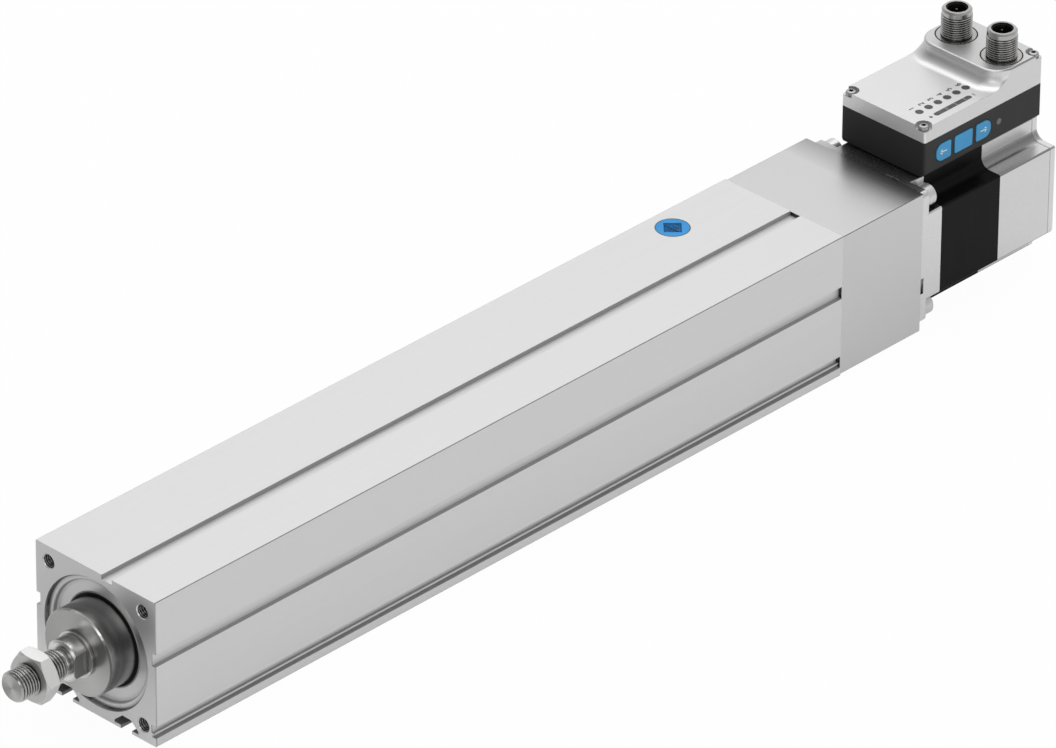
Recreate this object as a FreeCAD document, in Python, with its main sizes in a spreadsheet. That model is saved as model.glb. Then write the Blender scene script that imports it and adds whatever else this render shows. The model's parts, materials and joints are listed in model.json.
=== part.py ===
import FreeCAD, Part
import os
import Sketcher

# Electric cylinder with an integrated drive: a square aluminium barrel, a hollow piston rod
# driven by a ball screw, a bearing and coupling housing, a stepper motor and an electronics box.
# The frame: +X is the way the rod extends, +Z is up, and the origin lies on the rod's axis
# at the front face of the barrel. Sizes are in millimetres.

SIZES = {
    # Barrel extrusion
    "stroke": 200,
    "barrel_allowance": 155,
    "profile_width": 60,
    "profile_edge_radius": 0.3,
    "barrel_wall": 7,
    "guide_groove_width": 6.2,
    "guide_groove_depth": 2.2,
    "groove_width": 5.2,
    "groove_depth": 1.9,
    "groove_offset": 5.9,
    "side_slot_foot": 3.5,
    "side_slot_height": 4.9,
    "side_slot_depth": 2.4,
    "side_slot_ledge": 3.3,
    "side_slot_lip_depth": 1.2,
    "side_slot_lip_height": 0.75,
    "side_slot_foot_depth": 2,
    "tslot_edge": 15,
    "tslot_mouth": 5.5,
    "tslot_lip": 1.3,
    "tslot_width": 12,
    "tslot_wall": 1.0,
    "tslot_roof": 4.4,
    "tslot_depth": 5.6,
    # Corner screws and tapped holes
    "screw_edge": 6.43,
    "front_hole": 6.0,
    "front_hole_depth": 20,
    "rear_hole_depth": 18,
    "screw_shank": 5.0,
    "screw_hole_clearance": 0.25,
    "screw_engagement": 14,
    "screw_head": 8.5,
    "screw_head_height": 5.0,
    "screw_socket": 4.0,
    "screw_socket_depth": 2.5,
    # Front bearing cap, seal and guide
    "cap_wall": 4.25,
    "cap_bore_chamfer": 0.4,
    "cap_length": 34,
    "cap_fit": 0.05,
    "cap_rim_recess": 1.6,
    "cap_face_recess": 3.6,
    "cap_rim_width": 2.15,
    "cap_rim_round": 0.8,
    "seal_wall": 1.6,
    "seal_length": 6,
    "seal_lip_reach": 0.25,
    "seal_shoulder": 2.4,
    "bush_wall": 2.5,
    "bush_setback": 2,
    "guide_clearance": 0.04,
    "seal_clearance": 0.05,
    "rod_free_clearance": 0.6,
    "buffer_clearance": 1,
    "buffer_rod_clearance": 1,
    "front_buffer_wall": 2.8,
    "front_buffer_length": 6,
    "rear_buffer_bore": 25,
    "rear_buffer_length": 6,
    # Rod, rod end and nut
    "rod_diameter": 34,
    "rod_bore": 24,
    "rod_reach": 9,
    "rod_end_wall": 21,
    "rod_edge_chamfer": 0.6,
    "rod_end_tail": 10,
    "rod_end_tail_length": 15,
    "stub_collar": 17.8,
    "stub_collar_length": 1.4,
    "stub_diameter": 16,
    "stub_length": 6.5,
    "stub_chamfer": 0.8,
    "wrench_width": 13,
    "undercut_diameter": 10,
    "undercut_length": 1.7,
    "thread_diameter": 12,
    "thread_mean_diameter": 11.2,
    "thread_length": 22.4,
    "thread_chamfer": 1.0,
    "nut_width": 18,
    "nut_thickness": 6,
    "nut_setback": 8.4,
    "nut_clearance": 0.05,
    # Piston with its ball nut
    "piston_clearance": 0.4,
    "piston_length": 78,
    "piston_gap": 11,
    "rod_seat_length": 24,
    "piston_fit": 0.02,
    "piston_waist": 25,
    "piston_waist_length": 10,
    "guide_ring_width": 9.7,
    "guide_ring_depth": 2,
    "guide_ring_inset": 5,
    "guide_ring_clearance": 0.05,
    "magnet_width": 6,
    "magnet_depth": 3,
    "magnet_setback": 3,
    "ball_nut_diameter": 28,
    "ball_nut_flange_step": 2.6,
    "ball_nut_flange_length": 8,
    "ball_nut_clearance": 0.08,
    "key_width": 6,
    "key_length": 26,
    "key_inset": 19,
    "key_seat_depth": 2.4,
    "key_clearance": 0.2,
    # Spindle and its bearings
    "screw_diameter": 16,
    "spindle_end_gap": 26,
    "support_journal": 10,
    "support_bush_length": 7,
    "support_clearance": 0.07,
    "bearing_bore": 15,
    "bearing_outer": 35,
    "bearing_inner_race": 21,
    "bearing_outer_race": 29,
    "bearing_width": 11,
    "collar_diameter": 19,
    "collar_length": 4,
    "lock_nut_diameter": 24,
    "lock_nut_length": 4.5,
    "lock_nut_clearance": 1,
    "clamp_ring_length": 5,
    "ring_fit": 0.02,
    # Bearing housing
    "housing_step": 0.35,
    "housing_length": 44,
    "housing_edge_radius": 0.3,
    "spigot_length": 6,
    "spigot_lip": 3,
    "pilot_diameter": 38.1,
    # Shaft coupling
    "coupling_diameter": 31,
    "coupling_bore": 13,
    "coupling_front_gap": 1.2,
    "jaw_length": 5.4,
    "jaw_gap": 0.2,
    "lobe_width": 3.6,
    "spindle_journal": 10,
    "coupling_rear_gap": 1.0,
    # Motor
    "motor_step": 1.8,
    "screw_head_clearance": 0.67,
    "motor_notch_radius": 4.0,
    "motor_edge_radius": 0.8,
    "flange_thickness": 5,
    "flange_corner_radius": 2.5,
    "pilot_length": 1.6,
    "coupling_clearance": 1.15,
    "slit_length": 6.6,
    "slit_width": 3.2,
    "slit_depth": 2.5,
    "slit_offset": 11.8,
    "bell_length": 7.4,
    "stator_length": 32.4,
    "rear_housing_length": 28,
    "end_cap_thickness": 3.9,
    "end_cap_joint": 0.3,
    "end_cap_edge_radius": 1.6,
    "end_cap_spigot": 1.5,
    "shaft_diameter": 8,
    "shaft_hole": 13,
    "motor_bearing_outer": 22,
    "motor_bearing_width": 7,
    "motor_race_width": 2,
    "bearing_shoulder": 1.2,
    "coil_space_step": 0.7,
    "coil_space_depth": 4,
    "yoke_wall": 2.875,
    "pole_height": 4.5,
    "air_gap": 0.2,
    "pole_width": 7,
    "coil_width": 12,
    "coil_clearance": 0.1,
    "coil_pole_inset": 0.8,
    "coil_yoke_gap": 1.0,
    "coil_overhang": 2.6,
    "rotor_inset": 1.6,
    "encoder_ledge": 4,
    "encoder_bay_depth": 7.5,
    "board_bay_step": 0.5,
    "board_thickness": 1.6,
    "magnet_gap": 1.5,
    "magnet_length": 3,
    "ribbon_width": 8,
    "ribbon_thickness": 0.4,
    "ribbon_clearance": 0.8,
    "cap_screw_edge": 3.8,
    "cap_screw_inset": 6.25,
    "cap_screw_shank": 3,
    "cap_screw_head": 5.5,
    "cap_screw_length": 8,
    # Electronics box
    "box_length": 65.3,
    "box_width": 42,
    "box_rear_gap": 1.7,
    "box_gap": 0.5,
    "base_height": 14.9,
    "box_wall": 2.2,
    "base_chamfer": 1.3,
    "box_corner_radius": 1.1,
    "pedestal_margin": 0.3,
    "pedestal_front": 3,
    "pedestal_rear": 5,
    "gasket_inset": 0.6,
    "gasket_width": 0.8,
    "gasket_detour": 4.9,
    "gasket_depth": 0.8,
    "low_deck_height": 6.4,
    "high_deck_height": 13,
    "high_deck_margin": 4.7,
    "high_deck_corner": 9,
    "ramp_radius": 5.5,
    "deck_edge_radius": 1.0,
    "cover_skin": 2,
    "cover_screw_inset_x": 2.2,
    "cover_screw_inset_y": 2.7,
    "cover_screw_pocket": 6.2,
    "cover_screw_pocket_depth": 1.8,
    "cover_screw_head": 4.2,
    "cover_screw_head_height": 1.7,
    "cover_screw_shank": 2.5,
    "cover_screw_grip": 6,
    "cover_screw_clearance": 0.1,
    "screw_post": 7.2,
    "board_height": 5.2,
    "board_inset": 0.8,
    "board_post": 4,
    "board_post_x": 20,
    "board_post_y": 8,
    "board_keypad_gap": 1.4,
    # Connectors, lights and keys
    "connector_screw_gap": 2.1,
    "connector_side": 9.6,
    "connector_seal_width": 0.5,
    "connector_flange": 15.4,
    "connector_flange_depth": 4,
    "connector_height": 11.65,
    "connector_thread": 12,
    "connector_rim": 11.6,
    "connector_rim_height": 2.35,
    "connector_rim_chamfer": 0.7,
    "connector_bore": 8.5,
    "insert_height": 4,
    "insert_wall": 0.5,
    "insert_rim_gap": 0.7,
    "pin_diameter": 1,
    "pin_height": 5.5,
    "pin_circle": 5,
    "seal_ring_depth": 1.2,
    "lens_diameter": 3.2,
    "lens_pitch": 5.13,
    "lens_start": 8.1,
    "lens_edge": 10.25,
    "lens_clearance": 0.02,
    "level_length": 20,
    "level_width": 2.2,
    "level_start": 10.4,
    "level_edge": 4.6,
    "link_lens": 2.6,
    "link_position": 41.6,
    "keys_start": 6.5,
    "key_side_width": 8.1,
    "key_middle_width": 9.8,
    "keys_gap": 2.1,
    "keys_height": 7.2,
    "keys_floor_gap": 1.4,
    "keys_proud": 0.3,
    "keys_round": 0.8,
    "keys_end_round": 3.3,
    "keys_clearance": 0.15,
    "keys_flange": 0.5,
    "keys_flange_thickness": 0.8,
    "keys_shoulder_gap": 0.3,
    "key_travel": 0.4,
    "switch_rest_gap": 0.1,
    "switch_size": 5,
    "switch_height": 2.4,
    # Air filter
    "filter_diameter": 13.3,
    "filter_depth": 2,
    "filter_clearance": 0.05,
    "filter_window": 6.6,
    "filter_floor": 0.6,
    "filter_mesh_inset": 0.3,
    "filter_rib": 1.2,
    "filter_rib_height": 0.2,
    "filter_from_rear": 39.7,
    "filter_edge": 10.7,
    "vent_hole": 4,
}


class Size:
    """A driving dimension, or arithmetic on several: its value now and its sheet expression."""

    def __init__(self, value, text):
        self.value = value
        self.text = text

    def __add__(self, other):
        return Size(self.value + value_of(other), f"({self.text} + {text_of(other)})")

    def __sub__(self, other):
        return Size(self.value - value_of(other), f"({self.text} - {text_of(other)})")

    def __rsub__(self, other):
        return Size(value_of(other) - self.value, f"({text_of(other)} - {self.text})")

    def __mul__(self, other):
        return Size(self.value * value_of(other), f"({self.text} * {text_of(other)})")

    def __truediv__(self, other):
        return Size(self.value / value_of(other), f"({self.text} / {text_of(other)})")

    def __neg__(self):
        return Size(-self.value, f"(0 - {self.text})")

    __radd__ = __add__
    __rmul__ = __mul__


def value_of(size):
    return size.value if isinstance(size, Size) else size


def text_of(size):
    return size.text if isinstance(size, Size) else repr(float(size))


class Sheet:
    """The driving dimensions by name, each a Size bound to its cell."""


doc = FreeCAD.newDocument("electric_cylinder")
cells = doc.addObject("Spreadsheet::Sheet", "Sizes")
S = Sheet()
for row, (alias, number) in enumerate(SIZES.items(), start=1):
    cells.set(f"A{row}", alias)
    cells.set(f"B{row}", str(number))
    cells.setAlias(f"B{row}", alias)
    setattr(S, alias, Size(number, f"Sizes.{alias}"))
doc.recompute()

nodes = []
SQUARE = ((1, 1), (-1, 1), (-1, -1), (1, -1))
TAN_30 = 0.57735
ROOT_2 = 1.41421


def bind(item, name, size):
    item.setExpression(name, text_of(size))


def body_named(label):
    body = doc.addObject("PartDesign::Body", label)
    body.Label = label
    return body


def node(item):
    nodes.append(item)
    return item


def origin_feature(body, role):
    return next(item for item in body.Origin.OriginFeatures if item.Role == role)


def place(item, x=0, y=0, z=0, axis=(0, 0, 1), angle=0):
    """Turn an object and bind its position."""
    item.Placement = FreeCAD.Placement(FreeCAD.Vector(), FreeCAD.Rotation(FreeCAD.Vector(*axis), angle))
    for name, size in (("x", x), ("y", y), ("z", z)):
        bind(item, f"Placement.Base.{name}", size)


def sketch_on(body, plane, offset=0):
    """An empty sketch on one of the body's own planes, moved along that plane's normal."""
    sketch = body.newObject("Sketcher::SketchObject", f"{body.Name}_sketch")
    sketch.AttachmentSupport = [(origin_feature(body, plane), "")]
    sketch.MapMode = "FlatFace"
    bind(sketch, "AttachmentOffset.Base.z", offset)
    return sketch


def constrain(sketch, rows):
    for kind, geometry, point, size in rows:
        if kind == "Diameter":
            constraint = Sketcher.Constraint(kind, geometry, value_of(size))
        else:
            constraint = Sketcher.Constraint(kind, -1, 1, geometry, point, value_of(size))
        index = sketch.addConstraint(constraint)
        sketch.setExpression(f"Constraints[{index}]", text_of(size))


def polygon(sketch, points):
    """A closed outline whose corners are each placed by two bound distances."""
    corners = [FreeCAD.Vector(value_of(u), value_of(v), 0) for u, v in points]
    first = sketch.GeometryCount
    count = len(corners)
    for index in range(count):
        sketch.addGeometry(Part.LineSegment(corners[index], corners[(index + 1) % count]))
    for index in range(count):
        following = first + (index + 1) % count
        sketch.addConstraint(Sketcher.Constraint("Coincident", first + index, 2, following, 1))
    for index, (u, v) in enumerate(points):
        constrain(sketch, [("DistanceX", first + index, 1, u), ("DistanceY", first + index, 1, v)])
    return sketch


def rectangle(sketch, u_low, u_high, v_low, v_high):
    return polygon(sketch, [(u_low, v_low), (u_high, v_low), (u_high, v_high), (u_low, v_high)])


def circles(sketch, diameter, centres=((0, 0),)):
    for u, v in centres:
        middle = FreeCAD.Vector(value_of(u), value_of(v), 0)
        circle = Part.Circle(middle, FreeCAD.Vector(0, 0, 1), value_of(diameter) / 2)
        index = sketch.addGeometry(circle)
        constrain(sketch, [("DistanceX", index, 3, u), ("DistanceY", index, 3, v)])
        constrain(sketch, [("Diameter", index, 0, diameter)])
    return sketch


def pad(body, sketch, length):
    feature = body.newObject("PartDesign::Pad", f"{body.Name}_pad")
    feature.Profile = sketch
    bind(feature, "Length", length)
    return feature


def pocket(body, sketch, length):
    """A cut that runs from the sketch along the plane's normal, as a pad does."""
    feature = body.newObject("PartDesign::Pocket", f"{body.Name}_pocket")
    feature.Profile = sketch
    feature.Reversed = True
    bind(feature, "Length", length)
    return feature


def polar(body, feature, count, axis="X_Axis"):
    pattern = body.newObject("PartDesign::PolarPattern", f"{body.Name}_pattern")
    pattern.Originals = [feature]
    pattern.Axis = (origin_feature(body, axis), [""])
    pattern.Angle = 360
    pattern.Occurrences = count
    body.Tip = pattern
    return pattern


def dress(body, kind, size_name, size, chosen):
    """A fillet or chamfer on the edges of the body so far that the test accepts."""
    doc.recompute()
    base = body.Tip
    edges = [f"Edge{n}" for n, edge in enumerate(base.Shape.Edges, start=1) if chosen(edge)]
    feature = body.newObject(f"PartDesign::{kind}", f"{body.Name}_{kind.lower()}")
    feature.Base = (base, edges)
    bind(feature, size_name, size)
    return feature


def fillet(body, radius, chosen):
    return dress(body, "Fillet", "Radius", radius, chosen)


def chamfer(body, size, chosen):
    return dress(body, "Chamfer", "Size", size, chosen)


def near(one, other):
    return abs(value_of(one) - value_of(other)) < 1e-4


def parallel(edge, direction):
    """Whether an edge is straight and runs along the X, Y or Z direction."""
    start = edge.Vertexes[0].Point
    span = edge.Vertexes[-1].Point - start
    return span.Length > 0 and near(abs(getattr(span, direction)), span.Length) and near(edge.Length, span.Length)


def middle_of(edge):
    return edge.valueAt((edge.FirstParameter + edge.LastParameter) / 2)


def circle_at(edge, x, diameter):
    """Whether an edge is a full circle about the X direction, at one station and of one diameter."""
    if len(edge.Vertexes) != 1 or edge.Degenerated:
        return False
    curve = edge.Curve
    return isinstance(curve, Part.Circle) and near(curve.Center.x, x) and near(2 * curve.Radius, diameter)


def turned(label, points):
    """A body of revolution about X from its half section, given as (x, radius) corners."""
    body = body_named(label)
    sketch = polygon(sketch_on(body, "XY_Plane"), points)
    feature = body.newObject("PartDesign::Revolution", f"{body.Name}_turn")
    feature.Profile = sketch
    feature.ReferenceAxis = (sketch, ["H_Axis"])
    feature.Angle = 360
    return body


def ring(label, x_low, x_high, inner, outer):
    """A plain ring about X between two stations, from its two diameters."""
    return turned(label, [(x_low, inner / 2), (x_high, inner / 2), (x_high, outer / 2), (x_low, outer / 2)])


def disc(label, x_low, x_high, diameter):
    return turned(label, [(x_low, 0), (x_high, 0), (x_high, diameter / 2), (x_low, diameter / 2)])


def group(label, members):
    """Several separate solids kept as one node."""
    item = doc.addObject("Part::Compound", label)
    item.Label = label
    item.Links = members
    return node(item)


def corner_points(spacing):
    return [(u * spacing / 2, v * spacing / 2) for u, v in SQUARE]


# Stations along X, from the barrel's front face to the motor's end cap
profile_length = S.stroke + S.barrel_allowance
profile_rear = -profile_length
spigot_front = profile_rear + S.spigot_length
housing_rear = profile_rear - S.housing_length
plate_rear = housing_rear - S.flange_thickness
bell_rear = plate_rear - S.bell_length
stator_rear = bell_rear - S.stator_length
rear_housing_rear = stator_rear - S.rear_housing_length
motor_rear = rear_housing_rear - S.end_cap_thickness
bearing_front = spigot_front - S.spigot_lip
bearing_rear = bearing_front - S.bearing_width * 2
half_profile = S.profile_width / 2
half_motor = half_profile - S.motor_step
half_housing = half_profile - S.housing_step

# Cross sizes that follow the barrel's width, the rod and the corner screws
barrel_bore = S.profile_width - S.barrel_wall * 2
cap_bore = S.profile_width - S.cap_wall * 2
screw_spacing = S.profile_width - S.screw_edge * 2
cap_rim_inner = cap_bore - S.cap_rim_width * 2
piston_diameter = barrel_bore - S.piston_clearance * 2
buffer_outer = barrel_bore - S.buffer_clearance * 2
motor_ledge = screw_spacing / 2 - S.screw_head / 2 - S.screw_head_clearance
yoke_bore = (motor_ledge * ROOT_2 - S.yoke_wall) * 2
stator_bore = yoke_bore - S.pole_height * 2
coil_space = yoke_bore + S.coil_space_step * 2
board_bay = yoke_bore - S.board_bay_step * 2


def barrel():
    body = body_named("profile_barrel")
    outline = sketch_on(body, "YZ_Plane", profile_rear)
    pad(body, rectangle(outline, -half_profile, half_profile, -half_profile, half_profile), profile_length)
    fillet(body, S.profile_edge_radius, lambda edge: parallel(edge, "x"))
    grooves = sketch_on(body, "YZ_Plane", profile_rear)
    low = S.groove_offset - S.groove_width / 2
    high = S.groove_offset + S.groove_width / 2
    floor = half_profile - S.groove_depth
    rectangle(grooves, low, high, floor, half_profile + 1)
    for side in (1, -1):
        rectangle(grooves, floor * side, (half_profile + 1) * side, low, high)
        side_slot(grooves, side)
        t_slot(grooves, (half_profile - S.tslot_edge) * side)
    pocket(body, grooves, profile_length)
    bore = circles(sketch_on(body, "YZ_Plane", profile_rear), barrel_bore)
    pocket(body, bore, profile_length)
    reach = barrel_bore / 2 + S.guide_groove_depth
    half = S.guide_groove_width / 2
    guides = rectangle(sketch_on(body, "YZ_Plane", profile_rear), -reach, reach, -half, half)
    pocket(body, guides, profile_length)
    mouth = circles(sketch_on(body, "YZ_Plane", -S.cap_length), cap_bore)
    pocket(body, mouth, S.cap_length)
    corners = corner_points(screw_spacing)
    front = circles(sketch_on(body, "YZ_Plane", -S.front_hole_depth), S.front_hole, corners)
    pocket(body, front, S.front_hole_depth)
    rear_hole = S.screw_shank + S.screw_hole_clearance * 2
    rear = circles(sketch_on(body, "YZ_Plane", profile_rear), rear_hole, corners)
    pocket(body, rear, S.rear_hole_depth)
    filter_seat(body)
    chamfer(body, S.cap_bore_chamfer, lambda edge: circle_at(edge, 0, cap_bore))
    return node(body)


def side_slot(sketch, side):
    """The groove low on each side face: a lip divides it into a deep upper and a narrow lower channel."""
    foot = -half_profile + S.side_slot_foot
    top = foot + S.side_slot_height
    ledge = top - S.side_slot_ledge
    under = ledge - S.side_slot_lip_height
    outside = (half_profile + 1) * side
    polygon(sketch, [
        (outside, top),
        ((half_profile - S.side_slot_depth) * side, top),
        ((half_profile - S.side_slot_depth) * side, ledge),
        ((half_profile - S.side_slot_lip_depth) * side, ledge),
        ((half_profile - S.side_slot_lip_depth) * side, under),
        ((half_profile - S.side_slot_foot_depth) * side, under),
        ((half_profile - S.side_slot_foot_depth) * side, foot),
        (outside, foot),
    ])


def t_slot(sketch, centre):
    """One bottom slot for nuts: mouth between two lips, wide chamber, sloping roof."""
    lip = -half_profile + S.tslot_lip
    wall = lip + S.tslot_wall
    roof = -half_profile + S.tslot_depth
    below = -half_profile - 1
    right = [(S.tslot_mouth, below), (S.tslot_mouth, lip), (S.tslot_width, lip), (S.tslot_width, wall),
             (S.tslot_roof, roof)]
    points = [(centre + width / 2, height) for width, height in right]
    points += [(centre - width / 2, height) for width, height in reversed(right)]
    polygon(sketch, points)


filter_x = profile_rear + S.filter_from_rear
filter_y = -half_profile + S.filter_edge


def filter_seat(body):
    """The round seat of the air filter and the vent hole from it into the bore."""
    spot = [(filter_x, filter_y)]
    seat_diameter = S.filter_diameter + S.filter_clearance * 2
    seat = circles(sketch_on(body, "XY_Plane", half_profile - S.filter_depth), seat_diameter, spot)
    pocket(body, seat, S.filter_depth + 1)
    vent = circles(sketch_on(body, "XY_Plane", 0), S.vent_hole, spot)
    pocket(body, vent, half_profile)


def diamond(sketch, reach):
    """A square standing on its corner round the air filter's axis."""
    return polygon(sketch, [(filter_x + reach, filter_y), (filter_x, filter_y + reach), (filter_x - reach, filter_y),
                            (filter_x, filter_y - reach)])


def air_filter():
    """A round cap with a square window, and the mesh plate with its rib that lies in the window."""
    low = half_profile - S.filter_depth
    floor = low + S.filter_floor
    spot = [(filter_x, filter_y)]
    reach = S.filter_window * 0.7071
    cap = body_named("vent_filter_cap")
    pad(cap, circles(sketch_on(cap, "XY_Plane", low), S.filter_diameter, spot), S.filter_depth)
    pocket(cap, diamond(sketch_on(cap, "XY_Plane", floor), reach), S.filter_depth)
    pocket(cap, circles(sketch_on(cap, "XY_Plane", low), S.vent_hole, spot), S.filter_floor)
    node(cap)

    mesh = body_named("vent_filter_mesh")
    mesh_reach = reach - S.filter_clearance * 2
    mesh_height = S.filter_depth - S.filter_floor - S.filter_mesh_inset
    pad(mesh, diamond(sketch_on(mesh, "XY_Plane", floor), mesh_reach), mesh_height)
    rib = sketch_on(mesh, "XY_Plane", floor + mesh_height)
    half = S.filter_rib / 2
    end = mesh_reach - half
    rectangle(rib, filter_x - half, filter_x + half, filter_y - end, filter_y + end)
    pad(mesh, rib, S.filter_rib_height)
    node(mesh)


def front_guide():
    """The bearing cap with its wiper seal, guide bush and front buffer."""
    outer = cap_bore / 2 - S.cap_fit
    rim = cap_rim_inner / 2
    free = S.rod_diameter / 2 + S.rod_free_clearance
    face = -S.cap_face_recess
    seal_rear = face - S.seal_length
    bush_front = seal_rear - S.seal_shoulder
    seat = S.rod_diameter / 2 + S.bush_wall
    seal_seat = S.rod_diameter / 2 + S.seal_wall
    cap = turned("front_bearing_cap", [
        (-S.cap_rim_recess, outer), (-S.cap_length, outer), (-S.cap_length, seat), (bush_front, seat),
        (bush_front, free), (seal_rear, free), (seal_rear, seal_seat), (face, seal_seat), (face, rim),
        (-S.cap_rim_recess, rim)])
    rounds = S.cap_rim_round
    fillet(cap, rounds, lambda edge: circle_at(edge, face, cap_rim_inner)
           or circle_at(edge, -S.cap_rim_recess, cap_rim_inner))
    node(cap)
    lip = S.rod_diameter / 2 + S.seal_clearance
    seal_skin = seal_seat - S.ring_fit
    tip = face + S.seal_lip_reach
    node(turned("rod_wiper_seal", [(seal_rear, lip), (seal_rear, seal_skin), (face, seal_skin),
                                   (tip, (lip + seal_skin) / 2), (tip, lip)]))
    bush_bore = S.rod_diameter + S.guide_clearance * 2
    bush_skin = (seat - S.ring_fit) * 2
    bush_rear = S.bush_setback - S.cap_length
    node(ring("rod_guide_bush", bush_rear, bush_front, bush_bore, bush_skin))
    buffer_rear = -S.cap_length - S.front_buffer_length
    buffer_bore = S.rod_diameter + S.buffer_rod_clearance * 2
    buffer_skin = buffer_bore + S.front_buffer_wall * 2
    node(ring("front_buffer", buffer_rear, -S.cap_length, buffer_bore, buffer_skin))
    buffer_front = spigot_front + S.rear_buffer_length
    node(ring("rear_buffer", spigot_front, buffer_front, S.rear_buffer_bore, buffer_outer))


# Stations of the moving piston at rest, with the rod fully in
nut_flange_rear = spigot_front + S.piston_gap
piston_rear = nut_flange_rear + S.ball_nut_flange_length
piston_front = piston_rear + S.piston_length
rod_rear = piston_front - S.rod_seat_length
nut_front = rod_rear - S.piston_waist_length
rod_bottom = S.rod_reach - S.rod_end_wall


def rod():
    """The hollow rod, closed at its front end and tapped there for the rod end."""
    outer = S.rod_diameter / 2
    inner = S.rod_bore / 2
    tail = S.rod_end_tail / 2 + S.piston_fit
    tail_rear = S.rod_reach - S.rod_end_tail_length - 1
    edge = S.rod_edge_chamfer
    node(turned("piston_rod", [
        (rod_rear, inner), (rod_rear, outer), (S.rod_reach - edge, outer), (S.rod_reach, outer - edge),
        (S.rod_reach, tail), (tail_rear, tail), (tail_rear, 0), (rod_bottom, 0), (rod_bottom, inner)]))


def rod_end():
    """The threaded stud: tail in the rod, collar, wrench flats, undercut and thread.

    Up to the nut's front face the thread is drawn at its mean diameter, where the two threads meet.
    """
    collar_front = S.rod_reach + S.stub_collar_length
    stub_front = collar_front + S.stub_length
    undercut_front = stub_front + S.undercut_length
    tip = undercut_front + S.thread_length
    tail = S.rod_end_tail / 2
    stub = S.stub_diameter / 2
    thread = S.thread_diameter / 2
    mean = S.thread_mean_diameter / 2
    nut_front = tip - S.nut_setback
    body = turned("rod_end", [
        (S.rod_reach - S.rod_end_tail_length, 0), (S.rod_reach - S.rod_end_tail_length, tail),
        (S.rod_reach, tail), (S.rod_reach, S.stub_collar / 2), (collar_front, S.stub_collar / 2),
        (collar_front, stub), (stub_front - S.stub_chamfer, stub), (stub_front, stub - S.stub_chamfer),
        (stub_front, S.undercut_diameter / 2), (undercut_front, S.undercut_diameter / 2),
        (undercut_front, mean), (nut_front, mean), (nut_front, thread), (tip - S.thread_chamfer, thread),
        (tip, thread - S.thread_chamfer), (tip, 0)])
    flats = sketch_on(body, "YZ_Plane", collar_front)
    for side in (1, -1):
        rectangle(flats, S.wrench_width / 2 * side, S.stub_diameter * side, -S.stub_diameter, S.stub_diameter)
    pocket(body, flats, S.stub_length)
    node(body)
    hex_nut(nut_front - S.nut_thickness)


def hex_nut(rear):
    """The flat lock nut on the rod's thread: a hexagon, corners turned away at both faces."""
    half = S.nut_width / 2
    corner = S.nut_width * TAN_30
    bore = S.thread_mean_diameter / 2 + S.nut_clearance
    blank = turned("nut_blank", [
        (rear, bore), (rear, half), (rear + (corner - half) * TAN_30, corner),
        (rear + S.nut_thickness - (corner - half) * TAN_30, corner), (rear + S.nut_thickness, half),
        (rear + S.nut_thickness, bore)])
    hexagon = body_named("nut_hexagon")
    outline = polygon(sketch_on(hexagon, "YZ_Plane", rear), [
        (corner, 0), (corner / 2, half), (-corner / 2, half), (-corner, 0), (-corner / 2, -half),
        (corner / 2, -half)])
    pad(hexagon, outline, S.nut_thickness)
    nut = doc.addObject("Part::Common", "rod_nut")
    nut.Label = "rod_nut"
    nut.Base = blank
    nut.Tool = hexagon
    node(nut)


def piston():
    """The piston body with its two guide rings, magnet, anti-turn keys and ball nut."""
    outer = piston_diameter / 2
    ring_floor = outer - S.guide_ring_depth
    magnet_floor = outer - S.magnet_depth
    key_front = piston_front - S.key_inset
    key_rear = key_front - S.key_length
    key_root = outer - S.key_seat_depth
    rod_seat = S.rod_diameter / 2 + S.piston_fit
    nut_seat = S.ball_nut_diameter / 2 + S.piston_fit
    waist = S.piston_waist / 2
    rings = [(piston_front - S.guide_ring_inset - S.guide_ring_width, S.guide_ring_width, ring_floor),
             (key_rear - S.magnet_setback - S.magnet_width, S.magnet_width, magnet_floor),
             (piston_rear + S.guide_ring_inset, S.guide_ring_width, ring_floor)]
    points = [(piston_rear, nut_seat), (nut_front, nut_seat), (nut_front, waist), (rod_rear, waist),
              (rod_rear, rod_seat), (piston_front, rod_seat), (piston_front, outer)]
    for start, width, floor in rings:
        points += [(start + width, outer), (start + width, floor), (start, floor), (start, outer)]
    points.append((piston_rear, outer))
    body = turned("piston", points)
    slots = sketch_on(body, "YZ_Plane", key_rear)
    for side in (1, -1):
        rectangle(slots, key_root * side, piston_diameter * side, -S.key_width / 2, S.key_width / 2)
    pocket(body, slots, S.key_length)
    node(body)
    skin = barrel_bore - S.guide_ring_clearance * 2
    guide_rings = [ring(f"guide_ring_{n}", start, start + width, floor * 2 + S.piston_fit * 2, skin)
                   for n, (start, width, floor) in enumerate((rings[0], rings[2]), start=1)]
    group("piston_guide_rings", guide_rings)
    start, width, floor = rings[1]
    node(ring("piston_magnet", start, start + width, floor * 2 + S.piston_fit * 2, piston_diameter))
    key_tip = barrel_bore / 2 + S.guide_groove_depth - S.key_clearance
    keys = []
    for side in (1, -1):
        key = body_named(f"anti_turn_key_{len(keys) + 1}")
        sketch = sketch_on(key, "YZ_Plane", key_rear)
        rectangle(sketch, key_root * side, key_tip * side, -S.key_width / 2, S.key_width / 2)
        pad(key, sketch, S.key_length)
        keys.append(key)
    group("anti_turn_keys", keys)
    bore = S.screw_diameter / 2 + S.ball_nut_clearance
    node(turned("ball_nut", [
        (nut_flange_rear, bore), (nut_front, bore), (nut_front, S.ball_nut_diameter / 2),
        (piston_rear, S.ball_nut_diameter / 2), (piston_rear, outer - S.ball_nut_flange_step),
        (nut_flange_rear, outer - S.ball_nut_flange_step)]))


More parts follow.
